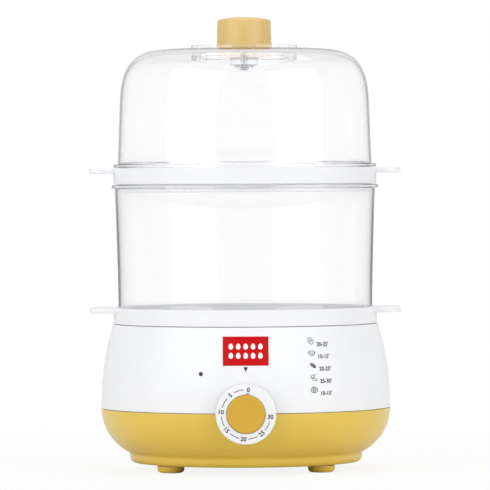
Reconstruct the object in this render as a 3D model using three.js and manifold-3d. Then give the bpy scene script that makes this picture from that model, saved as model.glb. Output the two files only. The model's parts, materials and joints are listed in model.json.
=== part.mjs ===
// Two-tier electric egg boiler: a base with a heating pan and a clockwork timer, two egg trays,
// a clear ring between them and a clear domed lid. Millimetres, +Z up. The origin is on the floor
// under the pot's axis, and the dial faces -Y.

import * as THREE from 'three';
import { mergeVertices } from 'three/addons/utils/BufferGeometryUtils.js';
import Module from 'manifold-3d';

const wasm = await Module();
wasm.setup();

// Driving dimensions
const stackRadius = 77; // egg trays, over their bands
const bellySwell = 7.2; // how much wider than its rim the base is, on the joint between its housings
const seamHeight = 36.2; // floor to the joint between the housings
const upperHeight = 49; // that joint to the upper housing's rim
const ringHeight = 77; // clear ring, end to end
const lidHeight = 71.1; // lid, from its flange to its platform
const bandHeight = 9.6; // egg tray's outer band

// Gaps
const seatGap = 0.3; // between a piece and what it rests on or is fastened to
const fitGap = 0.3; // around a pin, shank or collar in its hole
const spigotGap = 0.9; // around a tray's spigot in the rim below it
const nestGap = 0.7; // around the ring or the lid inside a tray's band
const overrun = 2; // how far a cutting shape reaches past the faces it cuts

// Facets around a full circle
const roundFacets = 28;
const knobFacets = 20;
const holeFacets = 12;
const pinFacets = 8;
const screwFacets = 6;
const seatFacets = 14;

// Egg tray
const bandWall = 2;
const bandChamfer = 0.5;
const floorLift = 2; // tray floor's underside over the tray's seat
const floorThickness = 1.8;
const spigotStep = 1.4; // spigot inside the band's inner face
const spigotWall = 1.8;
const spigotDepth = 4.4;
const eggsAround = 6;
const seatPitchShare = 0.584; // of the stack's radius, centre seat to outer seats
const seatTopRadius = 16.6;
const seatBottomRadius = 15.4;
const collarWall = 1.6;
const collarDrop = 3.5;
const trayRibWidth = 2;
const trayRibDepth = 3;
const steamHoleRadius = 3;
const steamSlotWidth = 3.2;
const steamSlotLength = 20;
const steamSlotInset = 6; // slot's middle line inside the spigot's wall
const tabReach = 14; // past the band
const tabWidth = 36;
const tabThickness = 3.1;
const tabCornerRadius = 9;
const tabCornerFacets = 3; // in a quarter turn
const tabDrop = 0.2; // tab's top under the band's top

// Clear ring
const ringWall = 1.8;
const ringFlangeOverhang = 1; // past the stack's radius
const ringFlangeThickness = 2.1;
const ringFlarePower = 1.6;
const ringFlareSteps = 2;

// Lid
const lidWall = 2;
const lidSkirtDepth = 4.4; // below the flange, inside the band
const lidFlangeThickness = 1.8;
const lidWallShares = [[1, 0.045], [0.985, 0.4], [0.974, 0.636]];
const lidShoulderShares = [[0.974, 0.636], [0.949, 0.861], [0.848, 0.952], [0.673, 0.966]];
const lidCrownShare = [0.484, 0.977];
const lidShoulderSteps = 4;
const platformDepth = 1.6; // knob's seat below the bead's top
const beadInnerRadius = 28.5;
const beadWidth = 2.5;
const beadFoot = 0.8; // how much wider the bead is at its foot
const lidRibDepth = 2.6;
const lidBossRadius = 8.2;
const lidBossDepth = 7;
const lidVentOffset = 24;
const lidVentRadius = 1.6;
const lidVentWall = 0.9;
const lidVentDepth = 3;

// Lid knob
const knobHeight = 18;
const knobRadius = 16;
const knobTopRadius = 15.65;
const knobFlangeOverhang = 0.25;
const knobFlangeHeight = 2.6;
const knobCrown = 1.5;
const knobEdge = 1.2;
const knobWall = 2.3;
const knobBossRadius = 4.4;
const washerThickness = 1;

// Base housings
const housingWall = 2.4;
const seamGap = 0.3;
const rimOverhang = 0.4; // upper housing's rim past the stack's radius
const shoulderPower = 2.2; // how late the upper housing draws in
const shoulderSteps = 4;
const bellyCurveReach = 29.6; // how far in the lower housing's curve is centred
const bellyCurveShare = 0.9; // of that curve's height that is used
const bellyCurveSteps = 3;
const plinthHeight = 5.6; // underside to the foot of the belly's curve
const plinthCove = 1.2; // how far down the plinth its cove to the belly reaches
const plinthCorner = 3;
const plinthCornerSteps = 2;
const lipDepth = 2.4; // upper housing's lip inside the lower housing
const lipWall = 1.5;
const lipRise = 3;
const ledgeThickness = 2;
const ledgeWidth = 8.5; // in from the rim's bore

// Feet
const footHeight = 4.4;
const footRadius = 7.8;
const footEdge = 1.8;
const footFacets = 10;
const footInset = 11.4; // foot's middle inside the plinth's wall
const footAngle = 39.6; // up from the X axis
const footStemRadius = 2.9;
const footBulbOverhang = 0.8;
const footBulbHeight = 2.4;

// Screws
const screwShankRadius = 1.5;
const screwHeadRadius = 2.8;
const screwHeadHeight = 1.8;
const screwEngagement = 5; // thread in a boss
const postScrewEngagement = 9; // thread of a long housing screw in its post
const plateScrewEngagement = 4;

// Screw posts between the housings
const postAngles = [90, 200, 340];
const postInset = 8.3; // inside the plinth's wall
const postRadius = 3.6;
const postTowerRadius = 4.8;
const postTowerHeight = 16;
const postTowerWeb = 2.4;
const postHeadroom = 3.5; // post's top under the pan
const postRibWidth = 2;
const postRibHeight = 16;

// Bottom vents
const ventSlots = 5;
const ventSlotLength = 30;
const ventSlotWidth = 2.6;
const ventSlotPitch = 8;
const ventSlotsCentre = -8;

// Heating pan and its seal
const panThickness = 1;
const panDepth = 18;
const panFlangeGap = 1.3; // around the pan's flange in the rim's bore
const panMouthInset = 2.4; // pan's mouth inside the ledge
const panFloorRadiusShare = 0.845; // of the mouth's radius
const panCorner = 4;
const panCornerSteps = 1;
const sealThickness = 0.8;
const sealWidth = 5;
const studRadius = 2;
const studEnd = 0.8; // below its nut

// Pan brackets
const bracketAngles = [30, 150, 270];
const bracketThickness = 1.2;
const bracketWidth = 12;
const bracketBossRadius = 3.6;
const bracketBossDepth = 5;
const bracketBossInset = 4.7; // boss inside the rim's bore
const bracketTabReach = 4;
const bracketLegGap = 1.5; // off the pan's flank
const bracketToe = 9; // under the pan's floor

// Heating element
const heaterTubeRadius = 3.3;
const heaterToeGap = 0.6; // inside the brackets' toes
const heaterOpening = 60; // degrees left open at the rear
const heaterColdEnd = 10;
const heaterTubeFacets = 6;
const heaterArcSteps = 20;
const heaterEndSteps = 6; // both bends and both cold ends

// Thermostat, its strap and the thermal fuse
const thermostatRadius = 8;
const thermostatHeight = 7;
const thermostatFlangeOverhang = 1.5;
const thermostatFlangeThickness = 1.2;
const terminalWidth = 4.8;
const terminalThickness = 0.8;
const terminalLength = 7;
const terminalPitch = 6;
const strapThickness = 1;
const strapWidth = 12;
const strapOverhang = 4; // past the studs
const nutRadius = 4;
const nutHeight = 2.6;
const fuseRadius = 2;
const fuseLength = 13;
const fuseGap = 2.5; // beside the thermostat
const studGap = 1.5; // beside the fuse

// Timer
const timerWidth = 40;
const timerHeight = 32;
const timerDepth = 24;
const timerCorner = 3;
const timerPlateHeight = 22;
const timerPlateRise = 3; // plate's middle over the dial's axis
const timerPlateCorner = 4;
const timerPlateThickness = 1.2;
const timerPlateMargin = 5; // past its outer screws
const timerScrewInset = 6; // inside the timer's sides
const plateScrewGap = 1.2; // screw's head beside the timer
const plateScrewRise = 9;
const plateBossRadius = 3.2;
const timerScrewShankRadius = 1.2;
const timerScrewHeadRadius = 2.3;
const timerScrewHeadHeight = 1.4;
const shaftRadius = 3;
const shaftFlatDepth = 0.9;
const shaftFlatLength = 9;
const shaftHoleGap = 1.5; // around the shaft in the housings
const shaftJournal = 5; // length of shaft inside the timer

// Dial
const dialRise = 0.1; // dial's axis over the housings' joint
const dialGap = 0.5; // behind the dial
const dialRadius = 17.4;
const dialDepth = 6.4;
const dialTeeth = 56;
const dialToothDepth = 0.45;
const dialChamfer = 0.8;
const dialWall = 1.8;
const dialHubRadius = 5.2;
const dialRestTurn = 5.8; // degrees past straight up, clockwise
const capRadius = 10.9;
const capThickness = 2.4;
const capProud = 1;
const capEdge = 0.4;
const capFacets = 12;
const nibReach = 0.8;
const nibHalfWidth = 1.3;
const nibTipHalfWidth = 0.3;

// Indicator
const indicatorRise = 22.6; // over the dial's axis
const indicatorTurn = 17.9; // degrees round from the front, to the left
const lensRadius = 1.15;
const lensProud = 0.25;
const lensFlangeRadius = 2.4;
const lensFlangeThickness = 1.2;
const lampRadius = 2.6;
const lampLength = 12;
const sleeveWall = 1.2;
const sleeveDepth = 10;

// Terminal block and cord gland
const blockWidth = 22;
const blockDepth = 12;
const blockHeight = 10;
const blockCorner = 1.5;
const blockGap = 10.8; // in front of the rear post's tower
const blockBossHeight = 3;
const blockBossRadius = 4;
const wireHoleRadius = 1.7;
const wireHolePitch = 14;
const glandPadGap = 0.8; // pad under the upper housing's lip
const glandPadRadius = 7;
const glandPadDepth = 3.4;
const glandNeckRadius = 5;
const glandFlangeRadius = 6.5;
const glandFlangeThickness = 1.5;
const glandSleeveLength = 5;
const glandSleeveTipRadius = 4;
const glandBoreRadius = 3;
const glandInnerLength = 6;

// Sizes that follow
const baseHeight = seamHeight + upperHeight;
const rimRadius = stackRadius + rimOverhang;
const bellyRadius = rimRadius + bellySwell;
const bandInnerRadius = stackRadius - bandWall;
const spigotRadius = bandInnerRadius - spigotStep;
const rimBoreRadius = spigotRadius + spigotGap;
const nestRadius = bandInnerRadius - nestGap;
const floorTop = floorLift + floorThickness;
const lowerTraySeat = baseHeight + seatGap;
const ringSeat = lowerTraySeat + floorTop + seatGap;
const upperTraySeat = ringSeat + ringHeight + seatGap;
const lidSeat = upperTraySeat + bandHeight + seatGap;
const underside = footHeight;
const plinthTop = underside + plinthHeight;
const panFlangeTop = lowerTraySeat - spigotDepth - seatGap;
const panFloorTop = panFlangeTop - panDepth;
const panUnderside = panFloorTop - panThickness;
const ledgeInnerRadius = rimBoreRadius - ledgeWidth;
const panMouthRadius = ledgeInnerRadius - panMouthInset;
const panFloorRadius = panMouthRadius * panFloorRadiusShare;
const sealTop = panFlangeTop - panThickness - seatGap;
const ledgeTop = sealTop - sealThickness - seatGap;
const ledgeBottom = ledgeTop - ledgeThickness;
const postTowerTop = underside + postTowerHeight;
const thermostatTop = panUnderside - seatGap;
const strapTop = thermostatTop - thermostatHeight - seatGap;
const nutTop = strapTop - strapThickness - seatGap;
const fuseOffset = thermostatRadius + fuseGap + fuseRadius;
const studOffset = fuseOffset + fuseRadius + studGap + studRadius;
const dialHeight = seamHeight + dialRise;
const indicatorHeight = dialHeight + indicatorRise;
const glandHeight = seamHeight - lipDepth - glandPadGap - glandPadRadius;
const timerScrewOffset = timerWidth / 2 - timerScrewInset;
const plateScrewOffset = timerWidth / 2 + plateScrewGap + screwHeadRadius;
const timerPlateWidth = 2 * (plateScrewOffset + timerPlateMargin);
const screwHoleRadius = screwShankRadius + fitGap;

const degrees = Math.PI / 180;

const yellowPlastic = new THREE.MeshStandardMaterial({ color: 0xd9b550, roughness: 0.42 });
const paleYellowPlastic = new THREE.MeshStandardMaterial({ color: 0xe2bf78, roughness: 0.45 });
const capPlastic = new THREE.MeshStandardMaterial({ color: 0xdeb24a, roughness: 0.4 });
const whitePlastic = new THREE.MeshStandardMaterial({ color: 0xf4f5f7, roughness: 0.38 });
const clearPlastic = new THREE.MeshStandardMaterial({
  color: 0xe8e9ef,
  roughness: 0.08,
  transparent: true,
  opacity: 0.35,
});
const darkPlastic = new THREE.MeshStandardMaterial({ color: 0x2c2c2e, roughness: 0.5 });
const greyPlastic = new THREE.MeshStandardMaterial({ color: 0x8a8d90, roughness: 0.55 });
const rubber = new THREE.MeshStandardMaterial({ color: 0xcfd0d2, roughness: 0.8 });
const steel = new THREE.MeshStandardMaterial({ color: 0xc3c5c8, roughness: 0.35, metalness: 1 });
const coatedPan = new THREE.MeshStandardMaterial({ color: 0xa4a6a8, roughness: 0.4, metalness: 0.8 });
const glass = new THREE.MeshStandardMaterial({ color: 0xd8a070, roughness: 0.15 });

// Makes a solid of a closed geometry, or passes a solid through
function solidOf(shape) {
  if (shape instanceof wasm.Manifold) return shape;
  const bare = shape.clone();
  bare.deleteAttribute('normal');
  bare.deleteAttribute('uv');
  const merged = mergeVertices(bare);
  const corners = merged.index.array;
  const triVerts = [];
  for (let i = 0; i < corners.length; i += 3) {
    const [a, b, c] = corners.slice(i, i + 3);
    if (a !== b && b !== c && c !== a) triVerts.push(a, b, c);
  }
  return new wasm.Manifold(new wasm.Mesh({
    numProp: 3,
    vertProperties: new Float32Array(merged.attributes.position.array),
    triVerts: new Uint32Array(triVerts),
  }));
}

function join(...shapes) {
  return shapes.map(solidOf).reduce((whole, next) => whole.add(next));
}

function cut(shape, ...tools) {
  return tools.map(solidOf).reduce((left, tool) => left.subtract(tool), solidOf(shape));
}

function within(shape, envelope) {
  return solidOf(shape).intersect(solidOf(envelope));
}

function pieceMesh(name, material, shape) {
  const { vertProperties, triVerts } = solidOf(shape).getMesh();
  const geometry = new THREE.BufferGeometry();
  geometry.setAttribute('position', new THREE.BufferAttribute(vertProperties, 3));
  geometry.setIndex(new THREE.BufferAttribute(triVerts, 1));
  geometry.computeVertexNormals();
  const mesh = new THREE.Mesh(geometry, material);
  mesh.name = name;
  return mesh;
}

// Turns an outline of [radius, height] points about the Z axis
function revolve(outline, facets = roundFacets) {
  const points = outline.map(([radius, height]) => new THREE.Vector2(radius, height));
  if (THREE.ShapeUtils.area(points) < 0) points.reverse();
  points.push(points[0].clone());
  return new THREE.LatheGeometry(points, facets).rotateX(Math.PI / 2);
}

function disc(radius, bottom, top, facets = pinFacets) {
  return revolve([[0, bottom], [radius, bottom], [radius, top], [0, top]], facets);
}

// Raises a flat shape from one height to another
function raise(shape, bottom, top, curveSegments = 1) {
  const settings = { depth: top - bottom, bevelEnabled: false, curveSegments };
  return new THREE.ExtrudeGeometry(shape, settings).translate(0, 0, bottom);
}

function roundedRectangle(width, height, corner) {
  const x = width / 2 - corner;
  const y = height / 2 - corner;
  const shape = new THREE.Shape();
  shape.absarc(x, y, corner, 0, Math.PI / 2);
  shape.absarc(-x, y, corner, Math.PI / 2, Math.PI);
  shape.absarc(-x, -y, corner, Math.PI, 1.5 * Math.PI);
  shape.absarc(x, -y, corner, 1.5 * Math.PI, 2 * Math.PI);
  return shape;
}

// A plate standing on the XZ plane, spread equally to both sides of it
function radialPlate(outline, width) {
  const shape = new THREE.Shape(outline.map(([radius, height]) => new THREE.Vector2(radius, height)));
  const settings = { depth: width, bevelEnabled: false };
  return new THREE.ExtrudeGeometry(shape, settings).translate(0, 0, -width / 2).rotateX(Math.PI / 2);
}

function rectangle(left, bottom, right, top) {
  return [[left, bottom], [right, bottom], [right, top], [left, top]];
}

// Turns a shape built along +Z so that it faces the front
function faceFront(geometry, height) {
  return geometry.rotateX(Math.PI / 2).translate(0, 0, height);
}

function faceRear(geometry, height) {
  return geometry.rotateX(-Math.PI / 2).translate(0, 0, height);
}

function polar(radius, angle) {
  return [radius * Math.cos(angle * degrees), radius * Math.sin(angle * degrees)];
}

// Moves an open outline to its left by a wall's thickness, mitred at its corners
function offset(outline, wall) {
  const leftOf = ([r0, z0], [r1, z1]) => new THREE.Vector2(z0 - z1, r1 - r0).normalize();
  const last = outline.length - 1;
  return outline.map(([radius, height], i) => {
    const before = leftOf(outline[Math.max(i - 1, 0)], outline[Math.max(i, 1)]);
    const after = leftOf(outline[Math.min(i, last - 1)], outline[Math.min(i + 1, last)]);
    const reach = wall / (1 + before.dot(after));
    return [radius + reach * (before.x + after.x), height + reach * (before.y + after.y)];
  });
}

function steps(count, place) {
  return Array.from({ length: count + 1 }, (_, i) => place(i / count));
}

function arcPoints(centreRadius, centreHeight, radius, fromAngle, toAngle, count) {
  return steps(count, (share) => {
    const [r, z] = polar(radius, fromAngle + share * (toAngle - fromAngle));
    return [centreRadius + r, centreHeight + z];
  });
}

// A screw with its head's underside at z = 0 and its shank pointing down
function screw(length, shank = screwShankRadius, head = screwHeadRadius, headHeight = screwHeadHeight) {
  return revolve([
    [0, -length], [shank, -length], [shank, 0], [head, 0], [head * 0.7, headHeight], [0, headHeight],
  ], screwFacets);
}

// Base housings' outlines

function upperOuterRadius(height) {
  const climb = (height - seamHeight) / upperHeight;
  return bellyRadius - (bellyRadius - rimRadius) * climb ** shoulderPower;
}

function lowerOuterRadius(height) {
  const curveHeight = (seamHeight - plinthTop) / bellyCurveShare;
  const drop = (seamHeight - height) / curveHeight;
  return bellyRadius - bellyCurveReach * (1 - Math.sqrt(1 - drop ** 2));
}

// How far from the pot's axis a piece of some width can stand inside a faceted round wall
function roomInFront(wallRadius, width) {
  return Math.sqrt((wallRadius * Math.cos(Math.PI / roundFacets)) ** 2 - (width / 2) ** 2);
}

const plinthRadius = lowerOuterRadius(plinthTop);
const lipBottom = seamHeight - lipDepth;
const rebateRadius = lowerOuterRadius(lipBottom - seatGap) - housingWall;
const lipOuterRadius = rebateRadius - fitGap;
const lipInnerRadius = lipOuterRadius - lipWall;
const postOffset = plinthRadius - postInset;
const blockOffset = postOffset - postTowerRadius - blockGap - blockDepth / 2;
const glandPadFace = lowerOuterRadius(glandHeight);
const glandInnerEnd = glandPadFace - glandInnerLength;
const timerPlateBottom = dialHeight + timerPlateRise - timerPlateHeight / 2;
const timerBottom = dialHeight - timerHeight / 2;
const timerPlateFront = Math.min(
  roomInFront(lipInnerRadius, timerPlateWidth),
  roomInFront(lowerOuterRadius(timerPlateBottom) - housingWall, timerPlateWidth),
  roomInFront(lowerOuterRadius(timerBottom) - housingWall, timerWidth) + timerPlateThickness,
) - fitGap;
const timerPlateBack = timerPlateFront - timerPlateThickness;
const timerFront = timerPlateBack - seatGap;
const plateBossFace = timerPlateFront + seatGap;

function upperOuterOutline() {
  const bottom = seamHeight + seamGap / 2;
  return steps(shoulderSteps, (share) => {
    const height = bottom + share * (baseHeight - bottom);
    return [upperOuterRadius(height), height];
  });
}

function upperHousing() {
  const outer = upperOuterOutline();
  const wallBottom = seamHeight + seamGap / 2 + lipRise;
  const inner = steps(shoulderSteps - 1, (share) => {
    const height = ledgeBottom + share * (wallBottom - ledgeBottom);
    return [upperOuterRadius(height) - housingWall, height];
  });
  const shell = revolve([
    ...outer,
    [rimBoreRadius, baseHeight], [rimBoreRadius, ledgeTop],
    [ledgeInnerRadius, ledgeTop], [ledgeInnerRadius, ledgeBottom],
    ...inner,
    [lipInnerRadius, wallBottom], [lipInnerRadius, lipBottom],
    [lipOuterRadius, lipBottom], [lipOuterRadius, seamHeight + seamGap / 2],
  ]);

  // Bosses and ribs end half way through the wall
  const envelope = revolve([
    [0, seamHeight],
    ...upperOuterOutline().map(([radius, height]) => [radius - housingWall / 2, height]),
    [0, baseHeight],
  ]);
  const bosses = [];
  const holes = [];
  const postTop = panUnderside - postHeadroom;
  const postHoleTop = postTowerTop + seatGap + postScrewEngagement + fitGap;
  postAngles.forEach((angle) => {
    const [x, y] = polar(postOffset, angle);
    const hole = disc(screwHoleRadius, 0, postHoleTop);
    const rib = radialPlate(
      rectangle(postOffset, postTop - postRibHeight, bellyRadius, postTop),
      postRibWidth,
    );
    bosses.push(disc(postRadius, postTowerTop + seatGap, postTop).translate(x, y, 0));
    bosses.push(within(rib.rotateZ(angle * degrees), envelope));
    holes.push(hole.translate(x, y, 0));
  });
  bracketAngles.forEach((angle) => {
    const [x, y] = polar(rimBoreRadius - bracketBossInset, angle);
    const bottom = ledgeBottom - bracketBossDepth;
    const boss = disc(bracketBossRadius, bottom, ledgeBottom + ledgeThickness / 2);
    const hole = disc(screwHoleRadius, bottom - overrun, bottom + screwEngagement);
    bosses.push(boss.translate(x, y, 0));
    holes.push(hole.translate(x, y, 0));
  });
  [-1, 1].forEach((side) => {
    const boss = disc(plateBossRadius, plateBossFace, bellyRadius);
    const hole = disc(screwHoleRadius, plateBossFace - overrun, plateBossFace + plateScrewEngagement);
    const behind = (tool) => faceFront(tool, dialHeight + plateScrewRise)
      .translate(side * plateScrewOffset, 0, 0);
    bosses.push(within(behind(boss), envelope));
    holes.push(behind(hole));
  });

  // The lamp's sleeve and the lens's hole
  const lensSurface = upperOuterRadius(indicatorHeight);
  const sleeveTop = lensSurface - housingWall - 2 * seatGap;
  const placeLamp = (tool) => faceFront(tool, indicatorHeight).rotateZ(-indicatorTurn * degrees);
  const sleeveBore = lampRadius + fitGap;
  const sleeve = placeLamp(disc(sleeveBore + sleeveWall, lensSurface - sleeveDepth, lensSurface));
  bosses.push(within(sleeve, envelope));
  holes.push(placeLamp(disc(sleeveBore, lensSurface - sleeveDepth - overrun, sleeveTop + seatGap)));
  holes.push(placeLamp(disc(lensRadius + fitGap, sleeveTop, lensSurface + overrun)));
  const shaftHole = faceFront(
    disc(shaftRadius + shaftHoleGap, timerPlateFront, bellyRadius + overrun, holeFacets),
    dialHeight,
  );
  return cut(join(shell, ...bosses), ...holes, shaftHole);
}

function lowerHousing() {
  const top = seamHeight - seamGap / 2;
  const cornerRadius = plinthRadius - plinthCorner;
  const coveTop = plinthTop + plinthCove / 2;
  const outer = [
    [0, underside],
    ...arcPoints(cornerRadius, underside + plinthCorner, plinthCorner, -90, 0, plinthCornerSteps),
    [plinthRadius, plinthTop - plinthCove],
    ...steps(bellyCurveSteps, (share) => {
      const height = coveTop + share * (top - coveTop);
      return [lowerOuterRadius(height), height];
    }),
  ];
  const inner = [
    [0, underside + housingWall],
    [cornerRadius, underside + housingWall],
    [plinthRadius - housingWall, plinthTop],
    ...steps(bellyCurveSteps - 1, (share) => {
      const bottom = plinthTop + housingWall;
      const height = bottom + share * (lipBottom - seatGap - bottom);
      return [lowerOuterRadius(height) - housingWall, height];
    }),
    [rebateRadius, top],
  ];
  const shell = revolve([...outer, ...inner.reverse()]);

  const towers = postAngles.map((angle) => {
    const [x, y] = polar(postOffset, angle);
    return disc(postTowerRadius, underside + housingWall / 2, postTowerTop).translate(x, y, 0);
  });
  const towerBores = postAngles.flatMap((angle) => {
    const [x, y] = polar(postOffset, angle);
    const headBore = disc(screwHeadRadius + 2 * fitGap, underside - overrun, postTowerTop - postTowerWeb);
    const shankBore = disc(screwHoleRadius, underside, postTowerTop + overrun);
    return [headBore.translate(x, y, 0), shankBore.translate(x, y, 0)];
  });
  const floorTopHeight = underside + housingWall;
  const blockBoss = disc(blockBossRadius, underside, floorTopHeight + blockBossHeight)
    .translate(0, blockOffset, 0);
  const blockHole = disc(
    screwHoleRadius,
    underside + housingWall / 2,
    floorTopHeight + blockBossHeight + overrun,
  ).translate(0, blockOffset, 0);
  const footHoles = footPlaces().map(([x, y]) => (
    disc(footStemRadius + fitGap, underside - overrun, floorTopHeight + overrun).translate(x, y, 0)
  ));
  const slotOutline = roundedRectangle(ventSlotLength, ventSlotWidth, ventSlotWidth / 2);
  const slots = Array.from({ length: ventSlots }, (_, i) => {
    const y = ventSlotsCentre + (i - (ventSlots - 1) / 2) * ventSlotPitch;
    return raise(slotOutline, underside - overrun, floorTopHeight + overrun).translate(0, y, 0);
  });
  const pad = faceRear(
    disc(glandPadRadius, glandPadFace - glandPadDepth, glandPadFace, holeFacets),
    glandHeight,
  );
  const padFace = faceRear(
    disc(glandPadRadius, glandPadFace, bellyRadius + overrun, holeFacets),
    glandHeight,
  );
  const glandHole = faceRear(
    disc(glandNeckRadius + fitGap, glandInnerEnd - overrun, bellyRadius + overrun, holeFacets),
    glandHeight,
  );
  const shaftHole = faceFront(
    disc(shaftRadius + shaftHoleGap, timerPlateFront, bellyRadius + overrun, holeFacets),
    dialHeight,
  );
  return cut(
    join(shell, ...towers, blockBoss, pad),
    ...towerBores, blockHole, ...footHoles, ...slots, padFace, glandHole, shaftHole,
  );
}

function footPlaces() {
  const [footX, footY] = polar(plinthRadius - footInset, footAngle);
  return [[-1, -1], [1, -1], [-1, 1], [1, 1]].map(([x, y]) => [x * footX, y * footY]);
}

function foot() {
  const top = footHeight - seatGap;
  const bulbBottom = footHeight + housingWall + seatGap;
  const bulbRadius = footStemRadius + footBulbOverhang;
  return revolve([
    [0, 0], [footRadius - footEdge, 0], [footRadius - footEdge * 0.3, footEdge * 0.3],
    [footRadius, footEdge], [footRadius, top],
    [footStemRadius, top], [footStemRadius, bulbBottom], [bulbRadius, bulbBottom],
    [0, bulbBottom + footBulbHeight],
  ], footFacets);
}

// Stack

function eggTray() {
  const spigotInner = spigotRadius - spigotWall;
  const bowl = revolve([
    [0, floorLift], [spigotInner, floorLift], [spigotInner, -spigotDepth],
    [spigotRadius, -spigotDepth], [spigotRadius, 0], [stackRadius, 0],
    [stackRadius, bandHeight - bandChamfer], [stackRadius - bandChamfer, bandHeight],
    [bandInnerRadius, bandHeight], [bandInnerRadius, floorTop], [0, floorTop],
  ]);
  const seatPitch = stackRadius * seatPitchShare;
  const outerAngles = Array.from({ length: eggsAround }, (_, i) => -90 + i * 360 / eggsAround);
  const seats = [[0, 0], ...outerAngles.map((angle) => polar(seatPitch, angle))];
  const collarBottom = floorLift - collarDrop;
  const collars = seats.map(([x, y]) => revolve([
    [0, collarBottom], [seatBottomRadius + collarWall, collarBottom],
    [seatTopRadius + collarWall, floorLift + floorThickness / 2],
    [0, floorLift + floorThickness / 2],
  ], seatFacets).translate(x, y, 0));
  const rib = (from, to, angle) => radialPlate(
    rectangle(from, floorLift - trayRibDepth, to, floorLift + floorThickness / 2),
    trayRibWidth,
  ).rotateZ(angle * degrees);
  const ribs = outerAngles.flatMap((angle) => [
    rib(seatBottomRadius, seatPitch - seatBottomRadius, angle),
    rib(seatPitch + seatBottomRadius, spigotRadius - spigotWall / 2, angle),
  ]);
  const mouths = seats.map(([x, y]) => revolve([
    [0, collarBottom - overrun], [seatBottomRadius, collarBottom - overrun],
    [seatBottomRadius, collarBottom], [seatTopRadius, floorTop],
    [seatTopRadius, floorTop + overrun], [0, floorTop + overrun],
  ], seatFacets).translate(x, y, 0));

  // Steam passes between the seats
  const slotOutline = roundedRectangle(steamSlotWidth, steamSlotLength, steamSlotWidth / 2);
  const vents = outerAngles.flatMap((angle) => {
    const between = angle + 180 / eggsAround;
    const hole = disc(steamHoleRadius, 0, floorTop + overrun);
    const slot = raise(slotOutline, floorLift - overrun, floorTop + overrun);
    return [
      hole.translate(seatPitch / Math.sqrt(3), 0, 0).rotateZ(between * degrees),
      slot.translate(spigotInner - steamSlotInset, 0, 0).rotateZ(between * degrees),
    ];
  });

  // Tabs to lift the tray by
  const tabRoot = stackRadius - tabCornerRadius;
  const tabLength = stackRadius + tabReach - tabRoot;
  const tabTop = bandHeight - tabDrop;
  const core = disc(stackRadius - bandWall / 2, 0, bandHeight + overrun, roundFacets);
  const tabs = [-1, 1].map((side) => {
    const outline = roundedRectangle(tabLength, tabWidth, tabCornerRadius);
    const slab = raise(outline, tabTop - tabThickness, tabTop, tabCornerFacets);
    return cut(slab.translate(side * (tabRoot + tabLength / 2), 0, 0), core);
  });
  return cut(join(bowl, ...collars, ...ribs, ...tabs), ...mouths, ...vents);
}

function steamRing() {
  const flare = rimBoreRadius + ringWall - nestRadius;
  const start = bandHeight - floorTop;
  const flareTop = ringHeight - ringFlangeThickness;
  const outer = steps(ringFlareSteps, (share) => [
    nestRadius + flare * share ** ringFlarePower,
    start + share * (flareTop - start),
  ]);
  const inner = outer.map(([radius, height]) => [radius - ringWall, height]);
  const flangeRadius = stackRadius + ringFlangeOverhang;
  return revolve([
    [nestRadius - ringWall, 0], [nestRadius, 0],
    ...outer,
    [flangeRadius, flareTop], [flangeRadius, ringHeight], [rimBoreRadius, ringHeight],
    ...inner.reverse(),
  ]);
}

function lidCover() {
  const inLid = ([radiusShare, heightShare]) => [nestRadius * radiusShare, lidHeight * heightShare];
  const shoulderPoints = lidShoulderShares.map((share) => new THREE.Vector2(...inLid(share)));
  const shoulder = new THREE.CubicBezierCurve(...shoulderPoints)
    .getPoints(lidShoulderSteps)
    .slice(1)
    .map((point) => [point.x, point.y]);
  const seatTop = lidHeight - platformDepth;
  const outer = [
    [nestRadius, -lidSkirtDepth],
    ...lidWallShares.map(inLid),
    ...shoulder,
    inLid(lidCrownShare),
    [beadInnerRadius, seatTop],
    [0, seatTop],
  ];
  const shell = revolve([...outer, ...offset(outer, lidWall).reverse()]);
  const flange = revolve(
    rectangle(nestRadius - lidWall / 2, 0, stackRadius, lidFlangeThickness),
  );
  const beadOuterRadius = beadInnerRadius + beadWidth;
  const bead = revolve([
    [beadInnerRadius, seatTop - lidWall / 2], [beadOuterRadius + beadFoot, seatTop - lidWall / 2],
    [beadOuterRadius, lidHeight], [beadInnerRadius, lidHeight],
  ]);
  const ceiling = seatTop - lidWall;
  const rib = revolve(
    rectangle(beadInnerRadius + lidWall / 2, ceiling - lidRibDepth, beadOuterRadius, ceiling + lidWall / 2),
  );
  const boss = disc(lidBossRadius, ceiling - lidBossDepth, ceiling + lidWall / 2, holeFacets);
  const bore = disc(screwHoleRadius, ceiling - lidBossDepth - overrun, lidHeight + overrun);
  const ventTubes = [-1, 1].map((side) => (
    disc(lidVentRadius + lidVentWall, ceiling - lidVentDepth, ceiling + lidWall / 2)
      .translate(side * lidVentOffset, 0, 0)
  ));
  const vents = [-1, 1].map((side) => (
    disc(lidVentRadius, ceiling - lidVentDepth - overrun, lidHeight + overrun)
      .translate(side * lidVentOffset, 0, 0)
  ));
  return cut(join(shell, flange, bead, rib, boss, ...ventTubes), bore, ...vents);
}

const lidKnobSeat = lidHeight - platformDepth + seatGap;
const lidBossBottom = lidHeight - platformDepth - lidWall - lidBossDepth;
const knobScrewLength = lidKnobSeat - lidBossBottom + 2 * screwEngagement;

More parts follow.
